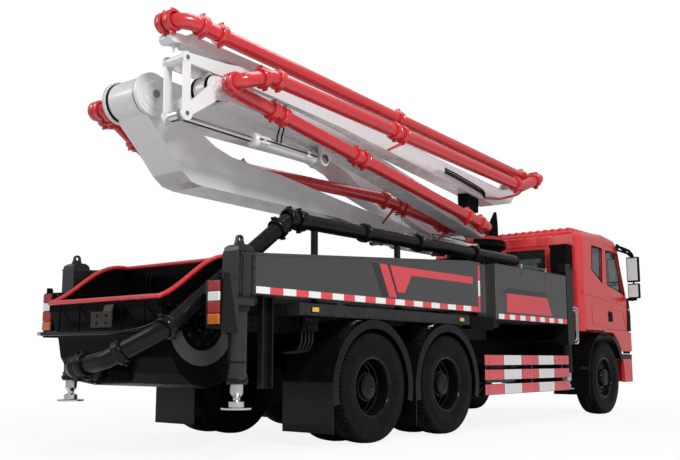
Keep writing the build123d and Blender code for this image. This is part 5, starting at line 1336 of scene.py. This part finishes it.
# Small fittings under the deck
def chassis_fittings():
    b = Build(body="chassis")
    b.box(6560, 6572, -690, 690, 660, 888)
    for y in range(-640, 641, 80):
        b.box(6572, 6576, y - 6, y + 6, 670, 880)
    b.done("front_screen", trim_plastic, 1)
    for letter in SIDES:
        b = Build(letter, "chassis")
        b.box(-985, -775, 1050, 1170, 1050, 1188)
        b.box(-950, -860, 1170, 1190, 1070, 1110)
        b.box(-1030, -985, 1060, 1130, 1080, 1180)
        b.done("valve_block", trim_plastic, 5)
        for x in (-950, -900, -850, -805):
            b.bolt((x, 1170, 1155), OUT, 12, 12)
            b.pipe([(x, 1120, 1052), (x, 1120, 960), (x + 20, 1060, 880), (x + 20, 880, 860)], 10, 60, 10)
        b.done("valve_tubes", dark_steel)
        b.box(1850, 2390, 1120, 1236, 1150, 1300)
        b.box(1870, 2370, 1236, 1246, 1216, 1226)
        b.done("tool_tray", chassis_paint, 4)
        b.pipe([(4600, 1254, 1520), (4770, 1254, 1520), (4770, 1254, 1020), (4630, 1254, 1020)], 12, 40, 12)
        b.pipe([(4600, 1254, 1480), (4725, 1254, 1480), (4725, 1254, 1060), (4630, 1254, 1060)], 12, 40, 12)
        b.done("leg_tubes", bright, body=f"front_stabiliser_{letter}")
        b.box(4602, 4700, 1150, 1244, 1010, 2040)
        b.prism([(4470, 2050), (4720, 2050), (4740, 2066), (4470, 2066)], 1120, 1250)
        for z in (1080, 1340, 1660, 1980):
            b.box(4598, 4708, 1146, 1250, z, z + 16)
        b.done("leg_sleeve", leg_paint, 4, f"front_stabiliser_{letter}")


chassis_fittings()


# Floor, world and lamps
def emptied(owner):
    """Node tree of a material or world, without its nodes."""
    owner.use_nodes = True
    owner.node_tree.nodes.clear()
    return owner.node_tree


def stage():
    mesh = bpy.data.meshes.new("floor")
    size = 90
    mesh.from_pydata([(-size, -size, 0), (size, -size, 0), (size, size, 0), (-size, size, 0)], [],
                     [(0, 1, 2, 3)])
    floor = bpy.data.objects.new("floor", mesh)
    floor.location.z = -0.0005
    bpy.context.scene.collection.objects.link(floor)
    material = bpy.data.materials.new("floor_white")
    tree = emptied(material)
    coord = tree.nodes.new("ShaderNodeTexCoord").outputs["Object"]
    rays = tree.nodes.new("ShaderNodeLightPath").outputs
    distance = node(tree, "ShaderNodeVectorMath", {0: coord}, operation="LENGTH").outputs["Value"]
    inputs = {"Value": distance, "From Min": 3.0, "From Max": 9.0, "To Min": 0.88, "To Max": 1.0}
    fade = node(tree, "ShaderNodeMapRange", inputs).outputs["Result"]
    inputs = {0: rays["Is Camera Ray"], 1: fade}
    share = node(tree, "ShaderNodeMath", inputs, operation="MULTIPLY").outputs["Value"]
    diffuse = node(tree, "ShaderNodeBsdfDiffuse", {"Color": (0.82, 0.82, 0.82, 1)}).outputs["BSDF"]
    glow = node(tree, "ShaderNodeEmission", {"Color": (1, 1, 1, 1), "Strength": 1.0}).outputs["Emission"]
    mix = node(tree, "ShaderNodeMixShader", {"Fac": share, 1: diffuse, 2: glow}).outputs["Shader"]
    node(tree, "ShaderNodeOutputMaterial", {"Surface": mix})
    mesh.materials.append(material)
    world = bpy.data.worlds.new("studio")
    bpy.context.scene.world = world
    tree = emptied(world)
    rays = tree.nodes.new("ShaderNodeLightPath").outputs
    inputs = {0: rays["Is Camera Ray"], 1: rays["Is Transmission Ray"]}
    either = node(tree, "ShaderNodeMath", inputs, operation="MAXIMUM").outputs["Value"]
    lit = node(tree, "ShaderNodeBackground",
               {"Color": (0.95, 0.97, 1.0, 1), "Strength": 0.46}).outputs["Background"]
    seen = node(tree, "ShaderNodeBackground",
                {"Color": (1, 1, 1, 1), "Strength": 1.0}).outputs["Background"]
    mix = node(tree, "ShaderNodeMixShader", {"Fac": either, 1: lit, 2: seen}).outputs["Shader"]
    node(tree, "ShaderNodeOutputWorld", {"Surface": mix})
    lamps = [("key", (-7, -9, 9), 3.0, 1000), ("fill", (-10, 5, 7), 5.0, 220),
             ("top", (1, -1, 11), 7.0, 320), ("front", (9, 6, 7), 4.0, 260)]
    for name, at, width, power in lamps:
        data = bpy.data.lights.new(name, "AREA")
        data.shape = "DISK"
        data.size = width
        data.energy = power
        light = bpy.data.objects.new(name, data)
        light.location = at
        light.rotation_euler = (Vector((0, 0, 1.6)) - Vector(at)).to_track_quat("-Z", "Y").to_euler()
        bpy.context.scene.collection.objects.link(light)


stage()
bpy.context.scene.view_settings.view_transform = "Standard"
